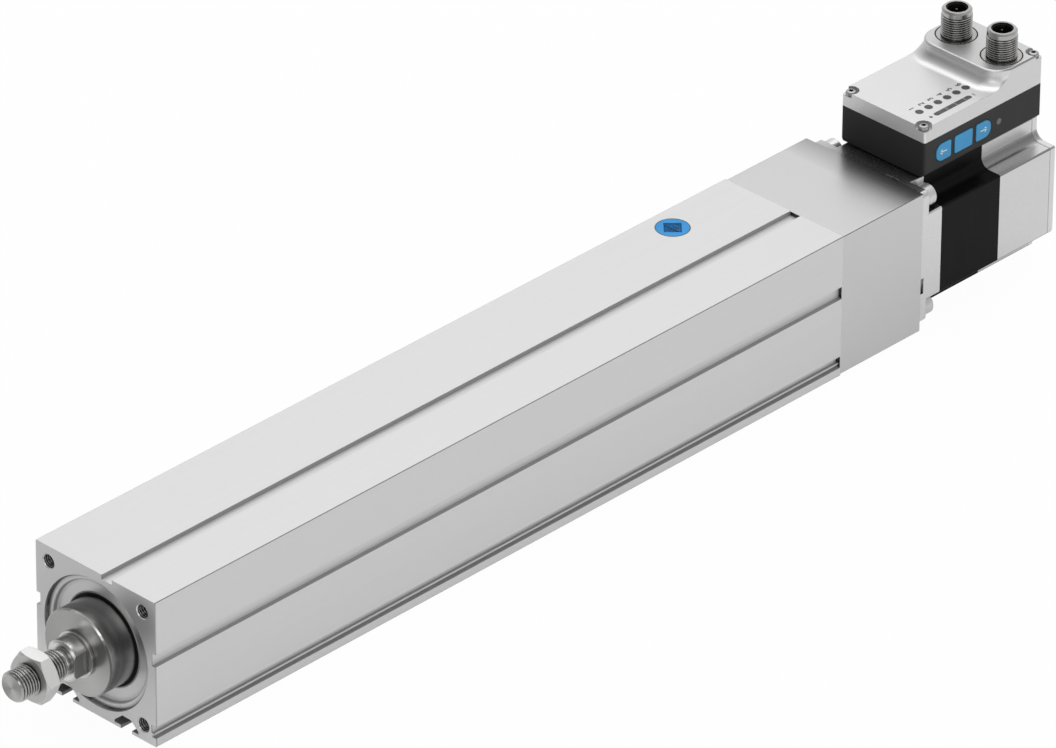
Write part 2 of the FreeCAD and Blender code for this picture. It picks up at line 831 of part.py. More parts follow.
def housing():
    """The block behind the barrel that holds the spindle's bearings and the coupling."""
    body = body_named("bearing_housing")
    half = half_housing
    outline = sketch_on(body, "YZ_Plane", housing_rear)
    pad(body, rectangle(outline, -half, half, -half, half), S.housing_length)
    fillet(body, S.housing_edge_radius, lambda edge: parallel(edge, "x"))
    spigot = circles(sketch_on(body, "YZ_Plane", profile_rear), barrel_bore - S.cap_fit * 2)
    pad(body, spigot, S.spigot_length)
    pilot = circles(sketch_on(body, "YZ_Plane", housing_rear), S.pilot_diameter)
    pocket(body, pilot, bearing_rear - housing_rear)
    seat = circles(sketch_on(body, "YZ_Plane", bearing_rear), S.bearing_outer)
    pocket(body, seat, S.bearing_width * 2)
    lip = circles(sketch_on(body, "YZ_Plane", bearing_front), S.bearing_outer_race)
    pocket(body, lip, S.spigot_lip)
    hole = S.screw_shank + S.screw_hole_clearance * 2
    holes = circles(sketch_on(body, "YZ_Plane", housing_rear), hole, corner_points(screw_spacing))
    pocket(body, holes, S.housing_length)
    node(body)


def spindle_bearing():
    """A matched pair of bearings: outer rings clamped in the housing, inner rings on the spindle."""
    fit = S.ring_fit * 2
    outers = []
    inners = []
    for n in range(2):
        front = bearing_front - S.bearing_width * n
        rear = front - S.bearing_width
        outers.append(ring(f"bearing_outer_{n + 1}", rear, front, S.bearing_outer_race, S.bearing_outer - fit))
        inners.append(ring(f"bearing_inner_{n + 1}", rear, front, S.bearing_bore + fit, S.bearing_inner_race))
    group("spindle_bearing_outer_rings", outers)
    group("spindle_bearing_inner_rings", inners)
    clamp_rear = bearing_rear - S.clamp_ring_length
    clamp_bore = S.lock_nut_diameter + S.lock_nut_clearance * 2
    node(ring("bearing_clamp_ring", clamp_rear, bearing_rear, clamp_bore, S.pilot_diameter - fit))
    lock_rear = bearing_rear - S.lock_nut_length
    node(ring("spindle_lock_nut", lock_rear, bearing_rear, S.bearing_bore + fit, S.lock_nut_diameter))


# Stations of the shaft coupling
motor_hub_rear = housing_rear + S.coupling_rear_gap
spindle_hub_front = bearing_rear - S.clamp_ring_length - S.coupling_front_gap
hub_length = (spindle_hub_front - motor_hub_rear - S.jaw_length - S.jaw_gap * 2) / 2
motor_hub_front = motor_hub_rear + hub_length
spindle_hub_rear = spindle_hub_front - hub_length
spindle_tail = spindle_hub_rear - S.jaw_gap
shaft_front = motor_hub_front + S.jaw_gap
spindle_tip = rod_bottom - S.spindle_end_gap


def spindle():
    """The ball screw: tail journal, bearing seat, collar, screw and front support journal."""
    journal = S.bearing_bore / 2
    shoulder = bearing_front + S.collar_length
    support_rear = spindle_tip - S.support_bush_length - 1
    lock_rear = bearing_rear - S.lock_nut_length
    node(turned("ball_screw", [
        (spindle_tail, 0), (spindle_tail, S.spindle_journal / 2), (lock_rear, S.spindle_journal / 2),
        (lock_rear, journal), (bearing_front, journal), (bearing_front, S.collar_diameter / 2),
        (shoulder, S.collar_diameter / 2), (shoulder, S.screw_diameter / 2),
        (support_rear, S.screw_diameter / 2), (support_rear, S.support_journal / 2),
        (spindle_tip, S.support_journal / 2), (spindle_tip, 0)]))
    skin = S.rod_bore - S.support_clearance * 2
    node(ring("spindle_support_bush", support_rear, support_rear + S.support_bush_length,
              S.support_journal + S.ring_fit * 2, skin))


def coupling_hub(label, jaw_root, direction, bore, turn):
    """A hub disc with three jaws: a jaw ring cut by three wedges and by the star's six lobes."""
    body = body_named(label)
    base = jaw_root - hub_length if direction > 0 else jaw_root
    pad(body, circles(sketch_on(body, "YZ_Plane", base), S.coupling_diameter), hub_length)
    tip = jaw_root if direction > 0 else jaw_root - S.jaw_length
    jaws = circles(sketch_on(body, "YZ_Plane", tip), S.coupling_diameter)
    pad(body, circles(jaws, S.coupling_bore), S.jaw_length)
    reach = S.coupling_diameter
    wedge = polygon(sketch_on(body, "YZ_Plane", tip), [(0, 0), (reach, -reach * TAN_30), (reach, reach * TAN_30)])
    polar(body, pocket(body, wedge, S.jaw_length), 3)
    slot = S.lobe_width / 2 + S.jaw_gap / 2
    lobe = rectangle(sketch_on(body, "YZ_Plane", tip), -slot, slot, 0, reach)
    polar(body, pocket(body, lobe, S.jaw_length), 6)
    pocket(body, circles(sketch_on(body, "YZ_Plane", base), bore), hub_length)
    place(body, axis=(1, 0, 0), angle=turn)
    node(body)


def coupling():
    fit = S.ring_fit * 2
    coupling_hub("coupling_hub_spindle", spindle_hub_rear, -1, S.spindle_journal + fit, 0)
    coupling_hub("coupling_hub_motor", motor_hub_front, 1, S.shaft_diameter + fit, 360 / 6)
    body = body_named("coupling_spider")
    rear = motor_hub_front + S.jaw_gap
    pad(body, circles(sketch_on(body, "YZ_Plane", rear), S.coupling_bore - S.jaw_gap * 2), S.jaw_length)
    half = S.lobe_width / 2
    lobe = rectangle(sketch_on(body, "YZ_Plane", rear), -half, half, 0, S.coupling_diameter / 2)
    polar(body, pad(body, lobe, S.jaw_length), 6)
    bore = circles(sketch_on(body, "YZ_Plane", rear), S.spindle_journal + S.jaw_gap * 2)
    pocket(body, bore, S.jaw_length)
    node(body)


def notched_block(label, rear, length):
    """A motor section: a square whose four corners are cut back to a rounded ledge."""
    body = body_named(label)
    ledge = motor_ledge
    points = []
    for (u, v), (first, second) in zip(SQUARE, ((half_motor, ledge), (ledge, half_motor)) * 2):
        points += [(u * first, v * second), (u * ledge, v * ledge), (u * second, v * first)]
    pad(body, polygon(sketch_on(body, "YZ_Plane", rear), points), length)

    def inner_corner(edge):
        spot = middle_of(edge)
        return parallel(edge, "x") and near(abs(spot.y), ledge) and near(abs(spot.z), ledge)

    fillet(body, S.motor_notch_radius, inner_corner)
    fillet(body, S.motor_edge_radius, lambda edge: parallel(edge, "x") and on_outer_corner(edge))
    return body


def on_outer_corner(edge):
    """Whether an edge along X lies where a motor side face meets a corner ledge."""
    spot = middle_of(edge)
    across = sorted((abs(spot.y), abs(spot.z)))
    return near(across[0], motor_ledge) and near(across[1], half_motor)


def bore(body, rear, length, diameter):
    return pocket(body, circles(sketch_on(body, "YZ_Plane", rear), diameter), length)


seat_diameter = S.motor_bearing_outer + S.ring_fit * 2
front_seat_rear = bell_rear + S.coil_space_depth
rear_seat_front = stator_rear - S.coil_space_depth
encoder_front = rear_seat_front - S.motor_bearing_width - S.bearing_shoulder
ledge_x = encoder_front - S.encoder_bay_depth


def motor_front():
    """The motor's flange plate and front bell in one casting, with pilot and bearing seat."""
    body = notched_block("motor_flange", bell_rear, S.bell_length)
    plate = sketch_on(body, "YZ_Plane", plate_rear)
    pad(body, rectangle(plate, -half_motor, half_motor, -half_motor, half_motor), S.flange_thickness)

    def plate_corner(edge):
        spot = middle_of(edge)
        return parallel(edge, "x") and near(abs(spot.y), half_motor) and near(abs(spot.z), half_motor)

    fillet(body, S.flange_corner_radius, plate_corner)
    pilot = circles(sketch_on(body, "YZ_Plane", housing_rear), S.pilot_diameter - S.ring_fit * 2)
    circles(pilot, S.coupling_diameter + S.coupling_clearance * 2)
    pad(body, pilot, S.pilot_length)
    bore(body, bell_rear, housing_rear - bell_rear, S.shaft_hole)
    bore(body, front_seat_rear, S.motor_bearing_width, seat_diameter)
    bore(body, bell_rear, S.coil_space_depth, coil_space)
    hole = S.screw_shank + S.screw_hole_clearance * 2
    holes = circles(sketch_on(body, "YZ_Plane", plate_rear), hole, corner_points(screw_spacing))
    pocket(body, holes, S.flange_thickness)
    slit = sketch_on(body, "YZ_Plane", housing_rear - S.slit_width)
    rectangle(slit, S.slit_offset - S.slit_length / 2, S.slit_offset + S.slit_length / 2,
              half_motor - S.slit_depth, half_motor + 1)
    polar(body, pocket(body, slit, S.slit_width), 4)
    node(body)


def motor_stator():
    """The laminated stack with eight poles, and one coil round each pole."""
    body = notched_block("motor_stator", stator_rear, S.stator_length)
    bore(body, stator_rear, S.stator_length, yoke_bore)
    half = S.pole_width / 2
    pole = sketch_on(body, "YZ_Plane", stator_rear)
    polar(body, pad(body, rectangle(pole, -half, half, S.shaft_diameter, yoke_bore / 2 + 1), S.stator_length), 8)
    bore(body, stator_rear, S.stator_length, stator_bore)
    node(body)
    coils = []
    coil_inner = stator_bore / 2 + S.coil_pole_inset
    for n in range(8):
        coil = body_named(f"coil_{n + 1}")
        loop = sketch_on(coil, "XY_Plane", coil_inner)
        over = S.coil_overhang
        rectangle(loop, stator_rear - over, bell_rear + over, -S.coil_width / 2, S.coil_width / 2)
        gap = S.coil_clearance
        rectangle(loop, stator_rear - gap, bell_rear + gap, -half - gap, half + gap)
        pad(coil, loop, yoke_bore / 2 - S.coil_yoke_gap - coil_inner)
        place(coil, axis=(1, 0, 0), angle=45 * n)
        coils.append(coil)
    group("motor_windings", coils)


def motor_back():
    """The rear housing with bearing seat and encoder bay, and the end cap that closes it."""
    body = notched_block("motor_rear_housing", rear_housing_rear, S.rear_housing_length)
    bore(body, rear_seat_front, S.coil_space_depth, coil_space)
    bore(body, rear_seat_front - S.motor_bearing_width, S.motor_bearing_width, seat_diameter)
    bore(body, encoder_front, S.bearing_shoulder, S.shaft_hole)
    bore(body, ledge_x, S.encoder_bay_depth, (board_bay - S.encoder_ledge * 2))
    bore(body, rear_housing_rear, ledge_x - rear_housing_rear, board_bay)
    screw_y = half_motor - S.cap_screw_edge
    screw_z = motor_ledge - S.cap_screw_inset
    screws = [(u * screw_y, v * screw_z) for u, v in SQUARE]
    shank = S.cap_screw_shank + S.screw_hole_clearance
    pocket(body, circles(sketch_on(body, "YZ_Plane", rear_housing_rear), shank, screws), S.cap_screw_length)
    slot_rear = ledge_x - S.board_thickness - S.ribbon_thickness - S.ribbon_clearance
    slot = sketch_on(body, "XY_Plane", motor_ledge)
    half = S.ribbon_width / 2 + S.ribbon_clearance
    rectangle(slot, slot_rear, ledge_x - S.board_thickness + S.ribbon_clearance, -half, half)
    pocket(body, slot, half_motor - motor_ledge + 1)
    node(body)
    cap = notched_block("motor_end_cap", motor_rear, S.end_cap_thickness)
    chamfer(cap, S.end_cap_joint, lambda edge: all(near(spot.X, rear_housing_rear) for spot in edge.Vertexes))
    fillet(cap, S.end_cap_edge_radius, lambda edge: near(middle_of(edge).x, motor_rear)
           and near(edge.Vertexes[0].X, motor_rear))
    spigot = circles(sketch_on(cap, "YZ_Plane", rear_housing_rear), board_bay - S.cap_fit * 2)
    pad(cap, spigot, S.end_cap_spigot)
    pocket(cap, circles(sketch_on(cap, "YZ_Plane", motor_rear), shank, screws), S.end_cap_thickness)
    sink = (S.cap_screw_head - S.cap_screw_shank) / 2
    chamfer(cap, sink, lambda edge: circle_at(edge, motor_rear, shank))
    node(cap)
    members = []
    for n, (y, z) in enumerate(screws, start=1):
        screw = turned(f"end_cap_screw_{n}", [
            (0, 0), (0, S.cap_screw_head / 2), (sink, S.cap_screw_shank / 2),
            (S.end_cap_thickness + S.cap_screw_length - 1, S.cap_screw_shank / 2),
            (S.end_cap_thickness + S.cap_screw_length - 1, 0)])
        place(screw, motor_rear, y, z)
        members.append(screw)
    group("end_cap_screws", members)


def motor_screws():
    """Four long screws through flange and housing into the barrel's rear corners."""
    reach = S.flange_thickness + S.housing_length + S.screw_engagement
    members = []
    for n, (y, z) in enumerate(corner_points(screw_spacing), start=1):
        head = S.screw_head / 2
        socket = S.screw_socket / 2
        bottom = S.screw_socket_depth - S.screw_head_height
        screw = turned(f"motor_screw_{n}", [
            (bottom, 0), (bottom, socket), (-S.screw_head_height, socket), (-S.screw_head_height, head), (0, head),
            (0, S.screw_shank / 2), (reach, S.screw_shank / 2), (reach, 0)])
        place(screw, plate_rear, y, z)
        members.append(screw)
    group("motor_screws", members)


def rotor_shaft():
    """The motor's shaft with rotor, bearing rings and encoder magnet."""
    fit = S.ring_fit * 2
    shaft_rear = ledge_x + S.magnet_gap + S.magnet_length
    node(disc("motor_shaft", shaft_rear, shaft_front, S.shaft_diameter))
    node(disc("encoder_magnet", shaft_rear - S.magnet_length, shaft_rear, S.shaft_diameter))
    rotor_bore = S.shaft_diameter + fit
    node(ring("rotor", stator_rear + S.rotor_inset, bell_rear - S.rotor_inset, rotor_bore,
              stator_bore - S.air_gap * 2))
    outers = []
    inners = []
    race = S.motor_race_width * 2
    for n, rear in enumerate((front_seat_rear, rear_seat_front - S.motor_bearing_width), start=1):
        front = rear + S.motor_bearing_width
        outers.append(ring(f"motor_outer_{n}", rear, front, S.motor_bearing_outer - race, S.motor_bearing_outer))
        inners.append(ring(f"motor_inner_{n}", rear, front, rotor_bore, rotor_bore + race))
    group("motor_bearing_outer_rings", outers)
    group("motor_bearing_inner_rings", inners)


# The electronics box stands on the motor's top face
box_rear = motor_rear + S.box_rear_gap
box_front = box_rear + S.box_length
half_box = S.box_width / 2
base_low = half_motor + S.box_gap
base_top = base_low + S.base_height
base_floor = base_low + S.box_wall
low_deck = base_top + S.low_deck_height
high_deck = base_top + S.high_deck_height
connector_hole = S.connector_flange + S.connector_seal_width * 2
connector_x = box_rear + S.cover_screw_inset_x + connector_hole / 2 + S.connector_screw_gap
step_x = connector_x + connector_hole / 2 + S.high_deck_margin
cover_screw_x = (box_front - S.cover_screw_inset_x, box_rear + S.cover_screw_inset_x)
cover_screw_y = half_box - S.cover_screw_inset_y
board_low = base_floor + S.board_height
level_row = half_box - S.level_edge


def box_corners(inset):
    """The box's plan, stepped in by one wall."""
    return box_rear + inset, box_front - inset, -half_box + inset, half_box - inset


def electronics_base():
    body = body_named("electronics_base")
    pad(body, rectangle(sketch_on(body, "XY_Plane", base_low), *box_corners(0)), S.base_height)
    fillet(body, S.box_corner_radius, lambda edge: parallel(edge, "z"))

    bevel = S.base_chamfer
    sides = sketch_on(body, "YZ_Plane", box_rear - 1)
    for side in (1, -1):
        polygon(sides, [((half_box - bevel - 1) * side, base_low - 1), ((half_box + 1) * side, base_low - 1),
                        ((half_box + 1) * side, base_low + bevel + 1)])
    pocket(body, sides, S.box_length + 2)
    margin = motor_ledge - S.pedestal_margin
    foot = sketch_on(body, "XY_Plane", half_motor)
    rectangle(foot, box_rear + S.pedestal_rear, box_front - S.pedestal_front, -margin, margin)
    pad(body, foot, S.box_gap + S.box_wall)
    hollow = rectangle(sketch_on(body, "XY_Plane", base_floor), *box_corners(S.box_wall))
    pocket(body, hollow, S.base_height)
    posts = sketch_on(body, "XY_Plane", base_floor)
    for x in cover_screw_x:
        for side in (1, -1):
            square_post(posts, x, cover_screw_y * side)
    pad(body, posts, base_top - base_floor)
    supports = circles(sketch_on(body, "XY_Plane", base_floor), S.board_post, board_post_spots())
    pad(body, supports, S.board_height)
    hole = S.cover_screw_shank + S.cover_screw_clearance * 2
    screw_spots = [(x, cover_screw_y * side) for x in cover_screw_x for side in (1, -1)]
    screw_holes = circles(sketch_on(body, "XY_Plane", base_top - S.cover_screw_grip - 1), hole, screw_spots)
    pocket(body, screw_holes, S.cover_screw_grip + 2)
    gasket_groove = gasket_outline(sketch_on(body, "XY_Plane", base_top - S.gasket_depth))
    pocket(body, gasket_groove, S.gasket_depth + 1)
    for index in range(3):
        key_block(body, pocket, index, S.keys_clearance, half_box, half_box - S.box_wall)
    link = circles(sketch_on(body, "XZ_Plane", -half_box), S.link_lens + S.lens_clearance * 2,
                   [(box_front - S.link_position, keys_middle)])
    pocket(body, link, S.box_wall)
    slot = sketch_on(body, "XY_Plane", half_motor)
    half = S.ribbon_width / 2 + S.ribbon_clearance
    rectangle(slot, ribbon_rear - S.ribbon_clearance, ribbon_front + S.ribbon_clearance, -half, half)
    pocket(body, slot, base_floor - half_motor)
    node(body)


def square_post(sketch, x, y):
    """One corner post that takes a cover screw and joins the box's two walls."""
    half = S.screw_post / 2
    outer_x = x + half if value_of(x) < value_of(box_rear + S.box_length / 2) else x - half
    inner = y - half if value_of(y) > 0 else y + half
    wall = S.box_wall / 2
    edge_x = box_rear + wall if value_of(x) < value_of(box_rear + S.box_length / 2) else box_front - wall
    edge_y = half_box - wall if value_of(y) > 0 else wall - half_box
    rectangle(sketch, edge_x, outer_x, edge_y, inner)


def board_post_spots():
    middle = box_rear + S.box_length / 2
    return [(middle + S.board_post_x * u, S.board_post_y * v - S.board_keypad_gap) for u, v in SQUARE]


def gasket_outline(sketch):
    """Two nested outlines round the rim of the box that pass inside the corner screws."""
    for outset in (0, S.gasket_width):
        stepped_plan(sketch, S.gasket_inset + outset, S.gasket_detour + outset)
    return sketch


def stepped_plan(sketch, inset, corner):
    """The box's plan stepped in along the walls, and further in at the four corners."""
    rear, front, right, left = box_corners(inset)
    back, fore, low, high = box_corners(corner)
    return polygon(sketch, [
        (back, right), (fore, right), (fore, low), (front, low), (front, high), (fore, high), (fore, left),
        (back, left), (back, high), (rear, high), (rear, low), (back, low)])


def cover_gasket():
    body = body_named("cover_gasket")
    pad(body, gasket_outline(sketch_on(body, "XY_Plane", base_top - S.gasket_depth)), S.gasket_depth)
    node(body)


def electronics_cover():
    """The cast cover: a low deck, a raised connector deck with rounded corners, and a swept step."""
    body = body_named("electronics_cover")
    wide = half_box + S.high_deck_corner
    plate = sketch_on(body, "XY_Plane", base_top)
    pad(body, rectangle(plate, box_rear, box_front, -wide, wide), S.low_deck_height)
    raised = sketch_on(body, "XY_Plane", base_top)
    pad(body, rectangle(raised, box_rear, step_x, -half_box, half_box), S.high_deck_height)

    def step_corner(edge):
        return parallel(edge, "z") and near(middle_of(edge).x, step_x)

    fillet(body, S.high_deck_corner, step_corner)

    def step_foot(edge):
        ends = (edge.Vertexes[0].Z, edge.Vertexes[-1].Z)
        beyond = middle_of(edge).x > value_of(box_rear) + 1e-3
        return near(ends[0], low_deck) and near(ends[1], low_deck) and beyond and not on_plate_edge(edge, wide)

    fillet(body, S.ramp_radius, step_foot)
    trim = rectangle(sketch_on(body, "XY_Plane", base_top), box_rear - 1, box_front + 1, -wide - 1, wide + 1)
    pocket(body, rectangle(trim, *box_corners(0)), S.high_deck_height)
    fillet(body, S.box_corner_radius, box_corner_edge)
    fillet(body, S.deck_edge_radius, lambda edge: all(near(vertex.Z, high_deck) for vertex in edge.Vertexes))
    cover_hollow(body)
    cover_openings(body)
    node(body)


def on_plate_edge(edge, wide):
    spot = middle_of(edge)
    return near(abs(spot.y), wide) or near(spot.x, box_front)


def box_corner_edge(edge):
    """Whether an edge is one of the box's four upright outer corners."""
    spot = middle_of(edge)
    at_end = near(spot.x, box_front) or near(spot.x, box_rear)
    return parallel(edge, "z") and at_end and near(abs(spot.y), half_box)


def cover_hollow(body):
    """The inside of the cover: open below, with solid corners for the screws."""
    rear, front, right, left = box_corners(S.box_wall)
    post = S.cover_screw_inset_y + S.screw_post / 2 - S.box_wall
    low = stepped_plan(sketch_on(body, "XY_Plane", base_top), S.box_wall, S.box_wall + post)
    pocket(body, low, S.low_deck_height - S.cover_skin)
    high = sketch_on(body, "XY_Plane", base_top)
    inner_step = step_x - S.cover_skin
    deep = S.high_deck_corner - S.cover_skin
    polygon(high, [(rear + post, right), (inner_step - deep, right), (inner_step, right + deep),
                   (inner_step, left - deep), (inner_step - deep, left), (rear + post, left),
                   (rear + post, left - post), (rear, left - post), (rear, right + post), (rear + post, right + post)])
    pocket(body, high, S.high_deck_height - S.cover_skin)


def cover_openings(body):
    """Screw pockets, connector holes and light openings."""
    spots = {low_deck: cover_screw_x[0], high_deck: cover_screw_x[1]}
    for deck, x in spots.items():
        pair = [(x, cover_screw_y * side) for side in (1, -1)]
        head = circles(sketch_on(body, "XY_Plane", deck - S.cover_screw_pocket_depth), S.cover_screw_pocket, pair)
        pocket(body, head, S.cover_screw_pocket_depth + 1)
        hole = S.cover_screw_shank + S.cover_screw_clearance * 2
        pocket(body, circles(sketch_on(body, "XY_Plane", base_top), hole, pair), S.high_deck_height)
    ports = circles(sketch_on(body, "XY_Plane", base_top), connector_hole, connector_spots())
    pocket(body, ports, S.high_deck_height + 1)
    lenses = sketch_on(body, "XY_Plane", base_top)
    circles(lenses, S.lens_diameter + S.lens_clearance * 2, lens_spots())
    pocket(body, lenses, S.low_deck_height + 1)
    pocket(body, rectangle(sketch_on(body, "XY_Plane", base_top), *level_sides(S.lens_clearance)),
           S.low_deck_height + 1)
    round_level(body, S.lens_clearance)


def round_level(body, gap):
    """Round both ends of the level bar or of its opening."""
    ends = level_sides(gap)[:2]

    def end_corner(edge):
        spot = middle_of(edge)
        at_row = abs(spot.y - value_of(level_row)) < value_of(S.level_width)
        return parallel(edge, "z") and at_row and any(near(spot.x, x) for x in ends)

    fillet(body, S.level_width * 0.49, end_corner)


def connector_spots():
    return [(connector_x, (half_box - S.connector_side) * side) for side in (-1, 1)]


def lens_spots():
    return [(box_front - S.lens_start - S.lens_pitch * n, half_box - S.lens_edge) for n in range(6)]


def level_sides(gap):
    start = box_front - S.level_start
    half = S.level_width / 2 + gap
    return start - S.level_length - gap, start + gap, level_row - half, level_row + half


def cover_screws():
    members = []
    for n, (x, deck) in enumerate(((cover_screw_x[0], low_deck), (cover_screw_x[1], high_deck)), start=1):
        for side in (1, -1):
            seat = deck - S.cover_screw_pocket_depth
            grip = seat - base_top + S.cover_screw_grip
            shank = S.cover_screw_shank / 2
            head = S.cover_screw_head / 2
            screw = turned(f"cover_screw_{n}", [(-grip, 0), (-grip, shank), (0, shank), (0, head),
                                                (S.cover_screw_head_height, head), (S.cover_screw_head_height, 0)])
            place(screw, x, cover_screw_y * side, seat, (0, 1, 0), -90)
            members.append(screw)
    group("cover_screws", members)


def connectors():
    """Two round plug connectors with seal ring, insulating insert and contact pins."""
    shells = []
    inserts = []
    seals = []
    pins = []
    rim = S.connector_height - S.connector_rim_height
    inner = S.connector_bore / 2
    for n, (x, y) in enumerate(connector_spots(), start=1):
        shell = turned(f"connector_shell_{n}", [
            (-S.connector_flange_depth, inner), (-S.connector_flange_depth, S.connector_flange / 2),
            (0, S.connector_flange / 2), (0, S.connector_thread / 2), (rim, S.connector_thread / 2),
            (rim, S.connector_rim / 2), (S.connector_height - S.connector_rim_chamfer, S.connector_rim / 2),
            (S.connector_height, S.connector_rim / 2 - S.connector_rim_chamfer), (S.connector_height, inner)])
        lining = inner - S.ring_fit
        cup = S.connector_height - S.insert_rim_gap
        insert = turned(f"connector_insert_{n}", [
            (-S.connector_flange_depth, 0), (-S.connector_flange_depth, lining), (cup, lining),
            (cup, lining - S.insert_wall), (S.insert_height, lining - S.insert_wall), (S.insert_height, 0)])
        seal = ring(f"connector_seal_{n}", -S.seal_ring_depth, 0, S.connector_flange + S.ring_fit * 2,
                    connector_hole - S.ring_fit * 2)
        for piece in (shell, insert, seal):
            place(piece, x, y, high_deck, (0, 1, 0), -90)
        shells.append(shell)
        inserts.append(insert)
        seals.append(seal)
        for u, v in SQUARE:
            pin = disc(f"connector_pin_{len(pins) + 1}", S.insert_height, S.insert_height + S.pin_height,
                       S.pin_diameter)
            place(pin, x + S.pin_circle / 2 * u * 0.7071, y + S.pin_circle / 2 * v * 0.7071, high_deck, (0, 1, 0), -90)
            pins.append(pin)
    group("connector_shells", shells)
    group("connector_inserts", inserts)
    group("connector_seals", seals)
    group("connector_pins", pins)


def lights():
    """Clear light guides, flush with the cover and with the side of the base."""
    members = []
    for n, (x, y) in enumerate(lens_spots(), start=1):
        lens = disc(f"status_lens_{n}", -S.cover_skin, 0, S.lens_diameter)
        place(lens, x, y, low_deck, (0, 1, 0), -90)
        members.append(lens)
    group("status_light_guides", members)
    level = body_named("level_light_guide")
    pad(level, rectangle(sketch_on(level, "XY_Plane", low_deck - S.cover_skin), *level_sides(0)), S.cover_skin)
    round_level(level, 0)
    node(level)
    link = disc("link_light_guide", -S.box_wall, 0, S.link_lens)
    place(link, box_front - S.link_position, half_box, keys_middle, (0, 0, 1), 90)
    node(link)


keys_middle = base_floor + S.keys_floor_gap + S.keys_flange + S.keys_height / 2
key_flange_outer = half_box - S.box_wall - S.keys_shoulder_gap
key_inner = key_flange_outer - S.keys_flange_thickness
switch_front = key_inner - S.key_travel - S.switch_rest_gap
keypad_front = switch_front - S.switch_height


def key_spans():
    """The X range of the three keys, from front to rear."""
    spans = []
    start = box_front - S.keys_start
    for width in (S.key_side_width, S.key_middle_width, S.key_side_width):
        spans.append((start - width, start))
        start = start - width - S.keys_gap
    return spans


def key_block(body, feature, index, gap, outer, inner):
    """A key's outline added to or cut from a body: the two end keys are round on their far side."""
    low, high = key_spans()[index]
    half = S.keys_height / 2 + gap
    sketch = sketch_on(body, "XZ_Plane", -outer)
    rectangle(sketch, low - gap, high + gap, keys_middle - half, keys_middle + half)
    feature(body, sketch, outer - inner)
    round_end = (high + gap, None, low - gap)[index]

    def upright_of(edge, x):
        spot = middle_of(edge)
        return parallel(edge, "y") and near(spot.x, x) and near(abs(spot.z - value_of(keys_middle)), half)

    if round_end is not None:
        fillet(body, S.keys_end_round, lambda edge: upright_of(edge, round_end))
    small = [x for x in (low - gap, high + gap) if x is not round_end and not near(x, round_end or 0)]
    fillet(body, S.keys_round, lambda edge: any(upright_of(edge, x) for x in small))


def push_keys():
    """Three keys in the side wall, each with a retaining flange behind the wall."""
    for index, label in enumerate(("key_back", "key_edit", "key_forward")):
        body = body_named(label)
        key_block(body, pad, index, 0, half_box + S.keys_proud, key_flange_outer)
        low, high = key_spans()[index]
        half = S.keys_height / 2
        flange = sketch_on(body, "XZ_Plane", -key_flange_outer)
        over = S.keys_flange
        rectangle(flange, low - over, high + over, keys_middle - half - over, keys_middle + half + over)
        pad(body, flange, S.keys_flange_thickness)
        node(body)


ribbon_front = ledge_x - S.board_thickness
ribbon_rear = ribbon_front - S.ribbon_thickness


def boards():
    """Drive board on its posts, keypad board with three switches, encoder board and ribbon."""
    drive = body_named("drive_board")
    inset = S.box_wall + S.board_inset
    post = S.screw_post + S.board_inset
    rear, front, right, left = box_corners(inset)
    back = keypad_front - S.board_thickness - S.board_keypad_gap
    plan = sketch_on(drive, "XY_Plane", board_low)
    polygon(plan, [(rear + post, right), (front - post, right), (front - post, right + post),
                   (front, right + post), (front, back), (rear, back), (rear, right + post),
                   (rear + post, right + post)])
    pad(drive, plan, S.board_thickness)
    node(drive)
    keypad = body_named("keypad_board")
    spans = key_spans()
    sheet = sketch_on(keypad, "XZ_Plane", -keypad_front)
    rectangle(sheet, spans[2][0], spans[0][1], base_floor, base_top - S.gasket_depth)
    pad(keypad, sheet, S.board_thickness)
    node(keypad)
    members = []
    for n, (low, high) in enumerate(spans, start=1):
        switch = body_named(f"key_switch_{n}")
        half = S.switch_size / 2
        middle = (low + high) / 2
        face = sketch_on(switch, "XZ_Plane", -switch_front)
        rectangle(face, middle - half, middle + half, keys_middle - half, keys_middle + half)
        pad(switch, face, S.switch_height)
        members.append(switch)
    group("key_switches", members)
    node(disc("encoder_board", ribbon_front, ledge_x, board_bay - S.cap_fit * 2))
    ribbon = body_named("encoder_ribbon")
    strip = sketch_on(ribbon, "YZ_Plane", ribbon_rear)
    half = S.ribbon_width / 2
    rectangle(strip, -half, half, motor_ledge / 2, board_low)
    pad(ribbon, strip, S.ribbon_thickness)
    node(ribbon)


barrel()
air_filter()
front_guide()
rod()
rod_end()
piston()
housing()
spindle_bearing()
spindle()
coupling()
motor_front()
motor_stator()
motor_back()
motor_screws()
rotor_shaft()
electronics_base()
cover_gasket()
electronics_cover()
cover_screws()
connectors()
lights()
push_keys()
boards()
doc.recompute()

failed = [item.Name for item in doc.Objects if {"Invalid", "Error"} & set(item.State)]
for item in nodes:
    if item.Shape.isNull() or not item.Shape.isValid():
        failed.append(item.Label)
if failed:
    raise RuntimeError("could not build: " + ", ".join(failed))

os.makedirs("parts", exist_ok=True)
for item in nodes:
    item.Shape.exportStep(f"parts/{item.Label}.step")
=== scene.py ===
import json
import math

import bpy
from mathutils import Matrix, Vector


